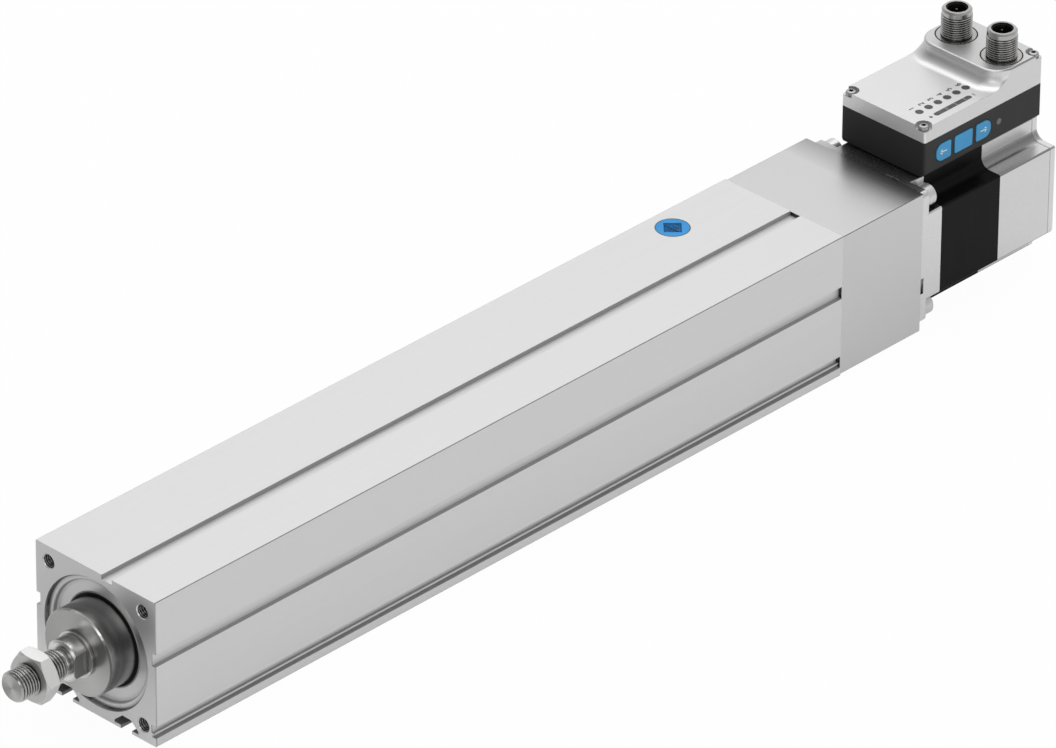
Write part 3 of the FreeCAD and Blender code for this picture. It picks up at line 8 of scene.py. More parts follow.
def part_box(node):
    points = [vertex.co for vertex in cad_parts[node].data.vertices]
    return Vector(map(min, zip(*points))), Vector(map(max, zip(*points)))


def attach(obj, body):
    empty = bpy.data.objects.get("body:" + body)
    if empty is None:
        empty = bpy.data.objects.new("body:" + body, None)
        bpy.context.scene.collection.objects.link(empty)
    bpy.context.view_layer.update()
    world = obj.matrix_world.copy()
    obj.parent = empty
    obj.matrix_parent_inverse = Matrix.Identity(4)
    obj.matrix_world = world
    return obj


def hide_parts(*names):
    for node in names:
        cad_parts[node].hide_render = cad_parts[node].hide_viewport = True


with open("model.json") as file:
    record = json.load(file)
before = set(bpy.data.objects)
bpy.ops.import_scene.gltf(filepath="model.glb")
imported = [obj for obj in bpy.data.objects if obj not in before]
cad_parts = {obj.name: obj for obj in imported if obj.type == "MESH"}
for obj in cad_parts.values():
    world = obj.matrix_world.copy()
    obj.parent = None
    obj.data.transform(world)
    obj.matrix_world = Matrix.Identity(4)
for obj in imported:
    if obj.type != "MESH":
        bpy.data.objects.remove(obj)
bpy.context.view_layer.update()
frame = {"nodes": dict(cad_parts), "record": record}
nodes = frame["nodes"]
MM = 0.001

# How far a point of a node's mesh may be off its true place
ROUNDING = 0.01 * MM

# The motor's screws and the front holes share one square pattern round the axis, in millimetres
HOLE_OFFSET = 23.57
CORNERS = [(y, z) for y in (-HOLE_OFFSET, HOLE_OFFSET) for z in (-HOLE_OFFSET, HOLE_OFFSET)]


# Node trees

# The sockets of a node that mixes two colours
MIX_FACTOR, MIX_FIRST, MIX_SECOND, MIX_RESULT = 0, 6, 7, 2


class Nodes:
    """A node tree with short ways to add and join nodes."""

    def __init__(self, tree):
        self.tree = tree

    def add(self, kind, **settings):
        node = self.tree.nodes.new(kind)
        for key, value in settings.items():
            setattr(node, key, value)
        return node

    def join(self, source, target):
        self.tree.links.new(source, target)

    def worked_out(self, kind, operation, terms):
        """The value of a node that calculates with plain values and the outputs of other nodes."""
        node = self.add(kind, operation=operation)
        for socket, term in zip(node.inputs, terms):
            if isinstance(term, bpy.types.NodeSocket):
                self.join(term, socket)
            else:
                socket.default_value = term
        return node.outputs["Value"]

    def maths(self, operation, *terms):
        return self.worked_out("ShaderNodeMath", operation, terms)

    def vectors(self, operation, *terms):
        return self.worked_out("ShaderNodeVectorMath", operation, terms)

    def span(self, value, start, end, low, high, smooth=False):
        """A value that runs from low to high while another runs from start to end."""
        node = self.add("ShaderNodeMapRange", interpolation_type="SMOOTHSTEP" if smooth else "LINEAR")
        for name, level in (("From Min", start), ("From Max", end), ("To Min", low), ("To Max", high)):
            node.inputs[name].default_value = level
        self.join(value, node.inputs["Value"])
        return node.outputs["Result"]


class Surface(Nodes):
    """A material's node tree. Places in it are in metres in the row frame, and move with the piece."""

    def __init__(self, name):
        self.material = bpy.data.materials.new(name)
        self.material.use_nodes = True
        super().__init__(self.material.node_tree)
        self.shader = self.tree.nodes["Principled BSDF"]
        self.output = self.tree.nodes["Material Output"]

    def place(self):
        return self.add("ShaderNodeTexCoord").outputs["Object"]

    def normal(self):
        return self.add("ShaderNodeNewGeometry").outputs["True Normal"]

    def parts(self, vector):
        split = self.add("ShaderNodeSeparateXYZ")
        self.join(vector, split.inputs["Vector"])
        return split.outputs

    def softened(self, radius):
        """Normals that turn over within a radius of an edge."""
        bevel = self.add("ShaderNodeBevel", samples=4)
        bevel.inputs["Radius"].default_value = radius
        return bevel.outputs["Normal"]

    def noise(self, stretch, detail):
        """Noise with cycles per metre along X, Y and Z."""
        mapping = self.add("ShaderNodeMapping")
        mapping.inputs["Scale"].default_value = stretch
        self.join(self.place(), mapping.inputs["Vector"])
        texture = self.add("ShaderNodeTexNoise")
        for name, level in (("Scale", 1.0), ("Detail", detail), ("Roughness", 0.55)):
            texture.inputs[name].default_value = level
        self.join(mapping.outputs["Vector"], texture.inputs["Vector"])
        return texture.outputs["Fac"]

    def shades(self, factor, start, end, low, high):
        """A colour that runs from low to high while a factor runs from start to end."""
        ramp = self.add("ShaderNodeValToRGB")
        for element, position, colour in zip(ramp.color_ramp.elements, (start, end), (low, high)):
            element.position = position
            element.color = (*colour, 1)
        self.join(factor, ramp.inputs["Fac"])
        return ramp.outputs["Color"]

    def multiplied(self, colour, factor):
        mix = self.add("ShaderNodeMix", data_type="RGBA", blend_type="MULTIPLY")
        mix.inputs[MIX_FACTOR].default_value = 1.0
        self.join(colour, mix.inputs[MIX_FIRST])
        self.join(factor, mix.inputs[MIX_SECOND])
        return mix.outputs[MIX_RESULT]

    def relief(self, height, depth, edge):
        """Bump from a height, over edges softened by a small bevel."""
        bump = self.add("ShaderNodeBump")
        bump.inputs["Strength"].default_value = 1.0
        bump.inputs["Distance"].default_value = depth
        self.join(height, bump.inputs["Height"])
        self.join(self.softened(edge), bump.inputs["Normal"])
        self.join(bump.outputs["Normal"], self.shader.inputs["Normal"])


# Tones: painted light and shade, as factors that lighten or darken part of a surface, each a function that
# adds its nodes

# The openness at which a surface counts as free of painted shade
OPEN_AIR = 0.92

# How far the painted shade line along an edge reaches, and the flatness over which it fades
LINE_RADIUS = 0.00022
LINE_RANGE = (0.92, 0.995)

# How far a face has to look along an axis, as a cosine
TURNED_TO = 0.6

# How far a face has to slant between Y and Z, as the product of the two in its normal
SLANT_RANGE = (0.05, 0.20)

# The painted sheen's light sectors in a turn, and the angle that they are turned by
SECTOR_WAVES = 2.0
SECTOR_TURN = 2.0


def crevice_shade(reach, closed=0.20, dark=0.12):
    """Painted shade: falls to a dark share where other surfaces stand close within a reach."""
    def tone(made):
        near = made.add("ShaderNodeAmbientOcclusion", samples=6)
        near.inputs["Distance"].default_value = reach
        return made.span(near.outputs["AO"], closed, OPEN_AIR, dark, 1.0)

    return tone


def shaded_edge_line(shade):
    """Painted shade: falls by a share in a thin line along edges."""
    def tone(made):
        normal = made.add("ShaderNodeNewGeometry").outputs["Normal"]
        flatness = made.vectors("DOT_PRODUCT", made.softened(LINE_RADIUS), normal)
        return made.span(flatness, *LINE_RANGE, 1 - shade, 1.0)

    return tone


def shaded_inner_walls(limit, level):
    """Painted shade: falls to a level on faces that look towards +Y or +Z from inside the outer faces, as
    in grooves.
    """
    def tone(made):
        place = made.parts(made.place())
        normal = made.parts(made.normal())
        found = [made.maths("MULTIPLY", made.maths("GREATER_THAN", normal[axis], TURNED_TO),
                            made.maths("LESS_THAN", place[axis], limit)) for axis in ("Y", "Z")]
        return made.span(made.maths("MAXIMUM", *found), 0.0, 1.0, 1.0, level)

    return tone


def shaded_long_edges(level):
    """Painted shade: falls to a level on the small rounds between the faces along Y and Z."""
    def tone(made):
        normal = made.parts(made.normal())
        slant = made.maths("ABSOLUTE", made.maths("MULTIPLY", normal["Y"], normal["Z"]))
        return made.span(slant, *SLANT_RANGE, 1.0, level)

    return tone


def along(axis, start, end, low, high):
    """Runs from low to high between two places along an axis."""
    return lambda made: made.span(made.parts(made.place())[axis], start, end, low, high)


def spot(place, near, far, low, high):
    """Runs from low to high with the distance from a point."""
    def tone(made):
        distance = made.vectors("DISTANCE", made.place(), place)
        return made.span(distance, near, far, low, high, smooth=True)

    return tone


def off_axis(offset, near, far, low, high):
    """Runs from low to high with the distance from the nearest of four axes along X.

    Each is at an offset from the middle in Y and Z, so with none they are one."""
    def tone(made):
        place = made.parts(made.place())
        sides = made.add("ShaderNodeCombineXYZ")
        for axis in ("Y", "Z"):
            side = made.maths("SUBTRACT", made.maths("ABSOLUTE", place[axis]), offset)
            made.join(side, sides.inputs[axis])
        return made.span(made.vectors("LENGTH", sides.outputs["Vector"]), near, far, low, high)

    return tone


def facing_light_and_shade(direction, start, end, level):
    """Painted light and shade: runs to a level on the faces that look in a direction, between two cosines
    of the angle to it.
    """
    def tone(made):
        cosine = made.vectors("DOT_PRODUCT", made.normal(), direction)
        return made.span(cosine, start, end, 1.0, level, smooth=True)

    return tone


def sheen_sectors(amount):
    """Painted turning sheen: has two light and two dark sectors round X on the faces that look along it.
    """
    def tone(made):
        place = made.parts(made.place())
        angle = made.maths("ARCTAN2", place["Z"], place["Y"])
        wave = made.maths("COSINE", made.maths("MULTIPLY_ADD", angle, SECTOR_WAVES, SECTOR_TURN))
        ahead = made.maths("MULTIPLY", wave, made.parts(made.normal())["X"])
        return made.maths("MULTIPLY_ADD", ahead, amount, 1.0)

    return tone


def on_faces(axis, inner):
    """Another tone, kept to the faces that look along an axis."""
    def tone(made):
        share = made.maths("MAXIMUM", made.parts(made.normal())[axis], 0.0)
        return made.maths("MULTIPLY_ADD", made.maths("SUBTRACT", inner(made), 1.0), share, 1.0)

    return tone


# Finishes

def even(cycles):
    return (cycles, cycles, cycles)


def grey(level):
    return (level, level, level)


MATERIALS = {}

# The ranges of the noise over which colour and gloss run
COLOUR_RANGE = (0.3, 0.7)
GLOSS_RANGE = (0.25, 0.75)

LENGTHWISE = (5, 500, 500)
TURNED = (2600, 60, 60)
FRONT = (1, 0, 0)


def finish(name, colour, spread, metallic, rough, drift=even(60), grain=even(2500), depth=1e-6,
           edge=0.0002, specular=0.5, sheen=0.0, painted_tones=()):
    """A surface with a slight colour drift, a fine grain in gloss and height, and any painted light and
    shade.

    spread is the share by which the colour drifts and rough the range of the roughness. drift and grain
    are in cycles per metre along X, Y and Z, depth is the height of the grain, and edge the radius that
    edges seem to have. sheen is how much turning marks round X stretch the highlights."""
    made = Surface(name)
    dark = [c * (1 - spread) for c in colour]
    light = [min(1.0, c * (1 + spread)) for c in colour]
    shade = made.shades(made.noise(drift, detail=3.0), *COLOUR_RANGE, dark, light)
    for tone in painted_tones:
        shade = made.multiplied(shade, tone(made))
    made.join(shade, made.shader.inputs["Base Color"])
    fine = made.noise(grain, detail=2.0)
    made.join(made.span(fine, *GLOSS_RANGE, *rough), made.shader.inputs["Roughness"])
    made.shader.inputs["Metallic"].default_value = metallic
    made.shader.inputs["Specular IOR Level"].default_value = specular
    if sheen:
        made.shader.inputs["Anisotropic"].default_value = sheen
        round_x = made.add("ShaderNodeTangent", direction_type="RADIAL", axis="X")
        made.join(round_x.outputs["Tangent"], made.shader.inputs["Tangent"])
    made.relief(fine, depth, edge)
    MATERIALS[name] = made.material


# Aluminium and castings
# Painted shade in the grooves, on the long edges and in a line along the front edge of the sides; painted
# light low on the front face, and a painted dark reflection of the rod beside it
finish("anodised_profile", grey(0.70), 0.008, 0.30, (0.44, 0.50), LENGTHWISE, (40, 4000, 4000), 5e-7,
       painted_tones=(shaded_inner_walls(0.0275, 0.52), shaded_long_edges(0.30),
              on_faces("Y", along("X", -0.0006, -0.00025, 1.0, 0.5)),
              on_faces("X", along("Z", -0.03, 0.0, 1.40, 1.0)),
              on_faces("X", spot((0, 0.022, 0.020), 0.003, 0.018, 0.50, 1.0))))
# Painted shade on the long edges and on the front faces at the ends of the grooves, and a painted dark
# reflection of the box on the top near its back end
finish("anodised_housing", grey(0.60), 0.006, 1.0, (0.25, 0.27), depth=2e-7,
       painted_tones=(shaded_long_edges(0.30), facing_light_and_shade(FRONT, 0.85, 0.95, 0.12),
              on_faces("Z", along("X", -0.399, -0.386, 0.60, 1.0))))
# Painted shade in crevices, painted light low on the front, a painted dark patch and a painted light patch
# of reflection on the cap face, and painted turning sheen
finish("machined_aluminium", grey(0.64), 0.03, 0.50, (0.30, 0.36), TURNED, (3000, 200, 200), sheen=0.6,
       painted_tones=(crevice_shade(0.002), on_faces("X", along("Z", -0.025, 0.0, 1.30, 1.0)),
              on_faces("X", spot((0, 0.0195, 0.0079), 0.002, 0.009, 0.28, 1.0)),
              on_faces("X", spot((0, 0.0110, 0.0190), 0.003, 0.010, 1.55, 1.0)), sheen_sectors(0.10)))
# Painted shade along the edges and on the rounds of the deck's side edges, a painted highlight on the
# ramp's corner, painted shade at the top of the ramp, front faces painted lighter towards +Y, and the high
# deck painted darker
finish("cover_silver", grey(0.68), 0.010, 0.68, (0.36, 0.40), depth=3e-7,
       painted_tones=(shaded_edge_line(0.40), facing_light_and_shade((0.50, 0.42, 0.757), 0.93, 0.99, 1.4),
              facing_light_and_shade((0, 0.707, 0.707), 0.86, 0.95, 0.50),
              on_faces("X", along("X", -0.4495, -0.436, 0.80, 1.0)),
              on_faces("X", along("Y", -0.012, 0.02, 1.10, 1.40)),
              on_faces("Z", along("Z", 0.052, 0.056, 1.0, 0.85))))
# Painted shade on the rounded edges
finish("motor_silver", grey(0.66), 0.010, 0.85, (0.27, 0.30), depth=3e-7, painted_tones=(shaded_long_edges(0.40),))
# Painted shade on the faces that look up, where the box stands close above
finish("flange_silver", grey(0.70), 0.010, 0.90, (0.25, 0.28), depth=3e-7,
       painted_tones=(on_faces("Z", crevice_shade(0.03, 0.52, 0.06)),))
# Painted shade on the rounded edges and in a dark line at the joint with the housing
finish("cap_silver", grey(0.70), 0.010, 0.85, (0.27, 0.30), depth=3e-7,
       painted_tones=(shaded_long_edges(0.55), along("X", -0.47215, -0.47190, 1.0, 0.10)))
finish("cut_rim", grey(0.80), 0.03, 0.60, (0.25, 0.30))
# Painted shade: darker deeper in the hole, and dark at the roots between the thread's crests
finish("cut_thread", grey(0.92), 0.04, 0.30, (0.25, 0.30), TURNED,
       painted_tones=(along("X", -0.008, -0.002, 0.30, 1.0),
              off_axis(HOLE_OFFSET * MM, 0.00252, 0.00266, 1.0, 0.02)))

# Steel and other metals
finish("black_laminations", grey(0.0035), 0.25, 0.0, (0.36, 0.44), (2000, 25, 25), (2000, 60, 60), 2e-6,
       specular=0.08)
# A painted highlight and painted shade on the rod's edge chamfer, painted light low and painted shade high
# on the front faces, a painted light patch on the rod's face beside the rod end, and painted turning sheen
finish("ground_steel", (0.37, 0.368, 0.365), 0.03, 1.0, (0.24, 0.28), (900, 40, 40), (5000, 200, 200),
       sheen=0.3,
       painted_tones=(facing_light_and_shade((0.70, 0.24, 0.67), 0.90, 0.98, 3.0), facing_light_and_shade((0.70, 0.71, 0.0), 0.76, 0.95, 0.40),
              on_faces("X", along("Z", -0.016, 0.010, 1.22, 0.88)),
              on_faces("X", spot((0.009, 0.006, 0.0112), 0.0015, 0.006, 2.4, 1.0)), sheen_sectors(0.14)))
# Painted shade in crevices and on the wrench flat, painted light on the top, and painted turning sheen
finish("turned_steel", (0.60, 0.597, 0.590), 0.05, 1.0, (0.20, 0.25), TURNED, (4000, 200, 200), sheen=0.6,
       painted_tones=(crevice_shade(0.0012), facing_light_and_shade((0, 1, 0), 0.95, 0.99, 0.42),
              facing_light_and_shade((0, 0.35, 0.94), 0.80, 0.97, 1.3), sheen_sectors(0.20)))
# Painted shade in crevices and on the tip's face, and painted turning sheen
finish("rolled_thread", (0.48, 0.477, 0.472), 0.05, 1.0, (0.18, 0.23), TURNED,
       painted_tones=(crevice_shade(0.0007, 0.40, 0.05), facing_light_and_shade(FRONT, 0.90, 0.98, 0.75), sheen_sectors(0.24)))
# Painted shade in crevices and on the faces that look to the front
finish("zinc_steel", (0.66, 0.66, 0.655), 0.03, 0.75, (0.30, 0.36), edge=0.0003,
       painted_tones=(crevice_shade(0.0015), facing_light_and_shade(FRONT, 0.95, 0.99, 0.82)))
# Painted shade in crevices
finish("screw_steel", (0.36, 0.36, 0.357), 0.05, 1.0, (0.24, 0.30), painted_tones=(crevice_shade(0.0015),))
# Painted shade in crevices
finish("nickel_brass", (0.46, 0.455, 0.45), 0.05, 1.0, (0.22, 0.28), painted_tones=(crevice_shade(0.0008),))
finish("copper_wire", (0.55, 0.20, 0.08), 0.25, 0.9, (0.25, 0.40), (60, 2500, 2500))
finish("gold_contact", (0.75, 0.62, 0.36), 0.06, 1.0, (0.16, 0.28))
finish("magnet_grey", (0.14, 0.14, 0.15), 0.15, 0.7, (0.40, 0.60))

# Rubber and plastics
finish("black_rubber", grey(0.006), 0.25, 0.0, (0.55, 0.72), specular=0.2)
finish("wiper_rubber", grey(0.005), 0.25, 0.0, (0.55, 0.72), specular=0.2,
       painted_tones=(off_axis(0.0, 0.0180, 0.0182, 1.0, 70.0),))
finish("orange_elastomer", (0.55, 0.17, 0.04), 0.10, 0.0, (0.50, 0.65))
finish("guide_polymer", (0.20, 0.20, 0.21), 0.10, 0.0, (0.45, 0.60))
finish("dark_plastic", (0.038, 0.038, 0.0385), 0.06, 0.0, (0.40, 0.50), grain=even(3500), depth=2e-6,
       specular=0.11)
finish("black_plastic", grey(0.006), 0.2, 0.0, (0.40, 0.55), specular=0.25)
finish("blue_key", (0.033, 0.305, 0.60), 0.05, 0.0, (0.42, 0.52))
# Painted shade in a thin line along the edges
finish("blue_plastic", (0.016, 0.305, 0.73), 0.04, 0.0, (0.40, 0.48), specular=0.3,
       painted_tones=(shaded_edge_line(0.5),))
finish("blue_mesh", (0.006, 0.105, 0.27), 0.90, 0.0, (0.55, 0.70), even(1500), even(1500), 3e-5,
       specular=0.15)
finish("circuit_board", (0.02, 0.16, 0.06), 0.15, 0.0, (0.35, 0.50))

# Lights that are off, marks, and a painted shadow line
finish("pale_lens", grey(0.20), 0.20, 0.0, (0.25, 0.32), even(500))
finish("grey_lens", grey(0.105), 0.20, 0.0, (0.25, 0.32), even(500))
finish("smoked_lens", grey(0.050), 0.30, 0.0, (0.22, 0.30), even(500))
finish("level_lens", grey(0.060), 0.45, 0.0, (0.22, 0.30), even(240))
finish("shadow_gap", (0.07, 0.11, 0.13), 0.10, 0.0, (0.50, 0.60), specular=0.2)
finish("print_white", (0.80, 0.82, 0.84), 0.03, 0.0, (0.50, 0.60))
finish("print_dark", grey(0.035), 0.10, 0.0, (0.50, 0.60))

# Nodes with a finish of their own instead of their slot's
NODE_FINISHES = {
    "electronics_cover": "cover_silver",
    "motor_rear_housing": "motor_silver",
    "motor_flange": "flange_silver",
    "motor_end_cap": "cap_silver",
    "rod_wiper_seal": "wiper_rubber",
    "link_light_guide": "grey_lens",
    "level_light_guide": "level_lens",
}
slots = {row["node"]: row["material_slot"] for row in frame["record"]["subparts"]}
for name, item in nodes.items():
    item.data.materials.clear()
    item.data.materials.append(MATERIALS[NODE_FINISHES.get(name, slots[name])])


# Mesh helpers

def placed(name, data):
    """A new object in the scene."""
    item = bpy.data.objects.new(name, data)
    bpy.context.scene.collection.objects.link(item)
    return item


def mesh_piece(name, points, faces, material, body, sharp=40):
    """A new piece that rides on a body, smooth over edges up to an angle, or flat where that is 0."""
    mesh = bpy.data.meshes.new(name)
    mesh.from_pydata([tuple(p) for p in points], [], faces)
    mesh.validate()
    if sharp:
        mesh.shade_smooth()
        mesh.set_sharp_from_angle(angle=math.radians(sharp))
    mesh.materials.append(MATERIALS[material])
    piece = placed(name, mesh)
    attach(piece, body)
    return piece


def copy_of(node, name, material, body, change):
    """A new piece from a node's mesh, each point passed through a change."""
    mesh = nodes[node].data
    points = [change(vertex.co.copy()) for vertex in mesh.vertices]
    faces = [tuple(face.vertices) for face in mesh.polygons]
    return mesh_piece(name, points, faces, material, body)


def loft(rings, close_start=True, close_end=True):
    """Quads between rings of equal count, with the end rings filled."""
    points = [p for ring in rings for p in ring]
    count = len(rings[0])
    faces = []
    for row in range(len(rings) - 1):
        for n in range(count):
            a = row * count + n
            b = row * count + (n + 1) % count
            faces.append((a, b, b + count, a + count))
    if close_start:
        faces.append(tuple(reversed(range(count))))
    if close_end:
        faces.append(tuple(range((len(rings) - 1) * count, len(rings) * count)))
    return points, faces


def join_parts(parts):
    points = []
    faces = []
    for some_points, some_faces in parts:
        start = len(points)
        points.extend(some_points)
        faces.extend(tuple(index + start for index in face) for face in some_faces)
    return points, faces


def full_turn(count):
    """Evenly spaced angles round a circle."""
    return [2 * math.pi * n / count for n in range(count)]


AXES = {
    "x": (Vector((1, 0, 0)), Vector((0, 1, 0)), Vector((0, 0, 1))),
    "-x": (Vector((-1, 0, 0)), Vector((0, 1, 0)), Vector((0, 0, -1))),
    "z": (Vector((0, 0, 1)), Vector((1, 0, 0)), Vector((0, 1, 0))),
}


def on_axis(axis, *origin):
    """A map from (distance, radius, angle) to the row frame, for an axis from an origin in millimetres."""
    origin = Vector([c * MM for c in origin])
    forward, first, second = AXES[axis]

    def at(distance, radius, angle):
        return origin + forward * distance + (first * math.cos(angle) + second * math.sin(angle)) * radius

    return at


# The part of a turn over which an inside thread rises from its wall
RUN_IN = 0.6


def helix_rows(start, end, pitch, rows):
    """Places along a thread, with a number of rows in each turn."""
    steps = round((end - start) / pitch * rows)
    return [start + (end - start) * row / steps for row in range(steps + 1)]


def off_crest(distance, pitch, angle):
    """How far a point is from the crest of a right-hand thread, in pitches from 0 to 0.5."""
    return abs((distance / pitch - angle / (2 * math.pi)) % 1.0 - 0.5)


def helix_surface(at, start, end, pitch, crest, root, tip, fade=0.0, segments=72, core=0.0):
    """An outside thread as one skin, whose flat crests and roots are each a quarter of the pitch wide.

    It tapers over the length of its tip, and rises from its root over a fade. The ends are closed, or run
    in to a core radius where the thread sits on a tube."""
    angles = full_turn(segments)
    rings = []
    for distance in helix_rows(start, end, pitch, rows=10):
        widest = crest - max(0.0, tip - (end - distance))
        ring = []
        for angle in angles:
            rise = min(1.0, max(0.0, 1.5 - off_crest(distance, pitch, angle) * 4))
            radius = min(root + (crest - root) * rise, widest)
            if distance - start < fade:
                radius = root + (radius - root) * (distance - start) / fade
            ring.append(at(distance, radius, angle))
        rings.append(ring)
    if core:
        rings.insert(0, [at(start, core, a) for a in angles])
        rings.append([at(end, core, a) for a in angles])
    return loft(rings, close_start=not core, close_end=not core)


def helix_skin(at, start, end, pitch, wall, crest, segments=40):
    """An inside thread as a skin along the wall of a hole, closed at its far end."""
    rings = []
    for distance in helix_rows(start, end, pitch, rows=8):
        height = (wall - crest) * min(1.0, (distance - start) / (pitch * RUN_IN))
        rings.append([at(distance, wall - height * (1 - off_crest(distance, pitch, angle) * 2), -angle)
                      for angle in full_turn(segments)])
    return loft(rings, close_start=False)


# Rod end: the node's own shape with its plain thread shrunk to a core inside a cut thread

ROD_THREAD = 22.4 * MM
ROD_TIP = 1.0 * MM
ROD_CORE = 4.9 * MM
end_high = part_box("rod_end")[1]
rod_thread_start = end_high.x - ROD_THREAD


def shrink_thread(point):
    if point.x > rod_thread_start - ROUNDING:
        radius = math.hypot(point.y, point.z)
        if radius > ROD_CORE:
            point.y *= ROD_CORE / radius
            point.z *= ROD_CORE / radius
        point.x = min(point.x, end_high.x - ROD_TIP)
    return point


rod_core = copy_of("rod_end", "rod_end_stub", "turned_steel", "rod", shrink_thread)
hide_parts("rod_end")
rod_thread = helix_surface(on_axis("x", 0, 0, 0), rod_thread_start, end_high.x, pitch=1.25 * MM,
                           crest=6 * MM, root=5.25 * MM, tip=ROD_TIP, fade=1.2 * MM)
mesh_piece("rod_end_thread", *rod_thread, "rolled_thread", "rod", sharp=35)

# Front corner holes: a countersunk rim and a skin with an inside thread in each

# The depth and radius of a rim's outer and inner edge, where the thread starts
RIM_DEPTH = 0.4 * MM
RIM = ((0.02 * MM, 2.98 * MM), (RIM_DEPTH, 2.66 * MM))
holes = []
rims = []
for y, z in CORNERS:
    at = on_axis("-x", 0, y, z)
    holes.append(helix_skin(at, RIM_DEPTH, 14 * MM, pitch=1.0 * MM, wall=2.97 * MM, crest=2.5 * MM))
    rings = [[at(depth, radius, -a) for a in full_turn(48)] for depth, radius in RIM]
    rims.append(loft(rings, close_start=False, close_end=False))
mesh_piece("front_hole_threads", *join_parts(holes), "cut_thread", "cylinder", sharp=35)
mesh_piece("front_hole_rims", *join_parts(rims), "cut_rim", "cylinder", sharp=35)

# Plug connectors: a cut thread round each shell, whose own plain thread shrinks to a core

CONNECTORS = [(-461.5, -11.4), (-461.5, 11.4)]

# The radii between which a point is on a plain thread, and how much it shrinks
PLAIN_LOW = 5.9 * MM
PLAIN_HIGH = 7 * MM
SHELL_SHRINK = 5.35 / 6

shell_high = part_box("connector_shells")[1]
plug_thread_low = shell_high.z - 11.65 * MM
plug_thread_high = shell_high.z - 2.35 * MM
threads = [helix_surface(on_axis("z", x, y, 0), plug_thread_low + 0.3 * MM, plug_thread_high,
                         pitch=0.95 * MM, crest=6 * MM, root=5.4 * MM, tip=0.3 * MM, segments=60,
                         core=5.2 * MM) for x, y in CONNECTORS]


def shrink_shell(point):
    for x, y in CONNECTORS:
        dx = point.x - x * MM
        dy = point.y - y * MM
        if PLAIN_LOW < math.hypot(dx, dy) < PLAIN_HIGH and point.z > plug_thread_low - ROUNDING:
            point.x = x * MM + dx * SHELL_SHRINK
            point.y = y * MM + dy * SHELL_SHRINK
    return point


shells = copy_of("connector_shells", "connector_bodies", "nickel_brass", "cylinder", shrink_shell)
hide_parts("connector_shells")
mesh_piece("connector_threads", *join_parts(threads), "nickel_brass", "cylinder", sharp=35)


# Screws with their sockets, in millimetres

SOCKET_TAPER = 0.97


def star(outer, inner):
    """A socket with six round points, as a radius for each angle."""
    return lambda angle: (outer + inner) / 2 + (outer - inner) / 2 * math.cos(6 * angle)


def hexagon(across):
    """A socket with six flats, as a radius for each angle."""
    def radius(angle):
        offset = (angle + math.pi / 6) % (math.pi / 3) - math.pi / 6
        return across / 2 / math.cos(offset)

    return radius


def screws(name, node, spots, axis, profile, recess, depth, material):
    """Screws in place of a node's, each turned from a profile of (distance, radius) and with a socket."""
    angles = full_turn(48)
    top = profile[-1][0]
    parts = []
    for place in spots:
        at = on_axis(axis, *place)
        rings = [[at(distance * MM, radius * MM, a) for a in angles] for distance, radius in profile]
        rings.append([at(top * MM, recess(a) * MM, a) for a in angles])
        rings.append([at((top - depth) * MM, recess(a) * SOCKET_TAPER * MM, a) for a in angles])
        parts.append(loft(rings))
    piece = mesh_piece(name, *join_parts(parts), material, "cylinder", sharp=30)
    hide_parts(node)


screws("cover_screw_heads", "cover_screws",
       [(x, y, z) for x, z in ((-410.9, 48.2), (-471.8, 54.8)) for y in (-18.3, 18.3)], axis="z",
       profile=[(-9, 1.25), (0, 1.25), (0, 2.1), (0.9, 2.1), (1.3, 2.0), (1.55, 1.75), (1.7, 1.35)],
       recess=star(1.0, 0.72), depth=1.0, material="screw_steel")
screws("motor_screw_heads", "motor_screws",
       [(-404, y, z) for y, z in CORNERS], axis="-x",
       profile=[(-62, 2.5), (0, 2.5), (0, 4.25), (4.6, 4.25), (5.0, 3.9)],
       recess=hexagon(4), depth=2.5, material="zinc_steel")
screws("end_cap_screw_heads", "end_cap_screws",
       [(-475.7, y, z) for y in (-24.4, 24.4) for z in (-12.4, 12.4)], axis="-x",
       profile=[(-10, 1.5), (-1.25, 1.5), (-0.1, 2.65), (0, 2.6)],
       recess=star(1.35, 0.95), depth=0.9, material="zinc_steel")


# Marks: strokes laid on a face

STROKE_HEIGHT = 0.03 * MM
NARROWEST_MITRE = 0.5


def across_of(way):
    return Vector((-way.y, way.x))


def strokes(name, lines, width, to_face, material, body):
    """Flat strokes with a little height, mitred where they bend.

    lines are runs of (u, v), and to_face maps (u, v, height) to the row frame."""
    parts = []
    for line in lines:
        run = [Vector(point) for point in line]
        ways = [(after - before).normalized() for before, after in zip(run, run[1:])]
        rings = []
        for point, behind, ahead in zip(run, ways[:1] + ways, ways + ways[-1:]):
            across = across_of((behind + ahead).normalized())
            side = across / max(NARROWEST_MITRE, across.dot(across_of(ahead))) * width / 2
            left = point + side
            right = point - side
            rings.append([to_face(*left, 0), to_face(*left, STROKE_HEIGHT),
                          to_face(*right, STROKE_HEIGHT), to_face(*right, 0)])
        parts.append(loft(rings))
    mesh_piece(name, *join_parts(parts), material, body, sharp=0)


def scaled(lines, size, u, v):
    return [[(u + a * size, v + b * size) for a, b in line] for line in lines]


def on_top(level):
    """A face at a level, read along -Y with the tops of its signs towards +X."""
    return lambda u, v, height: Vector((v, -u, level + height))


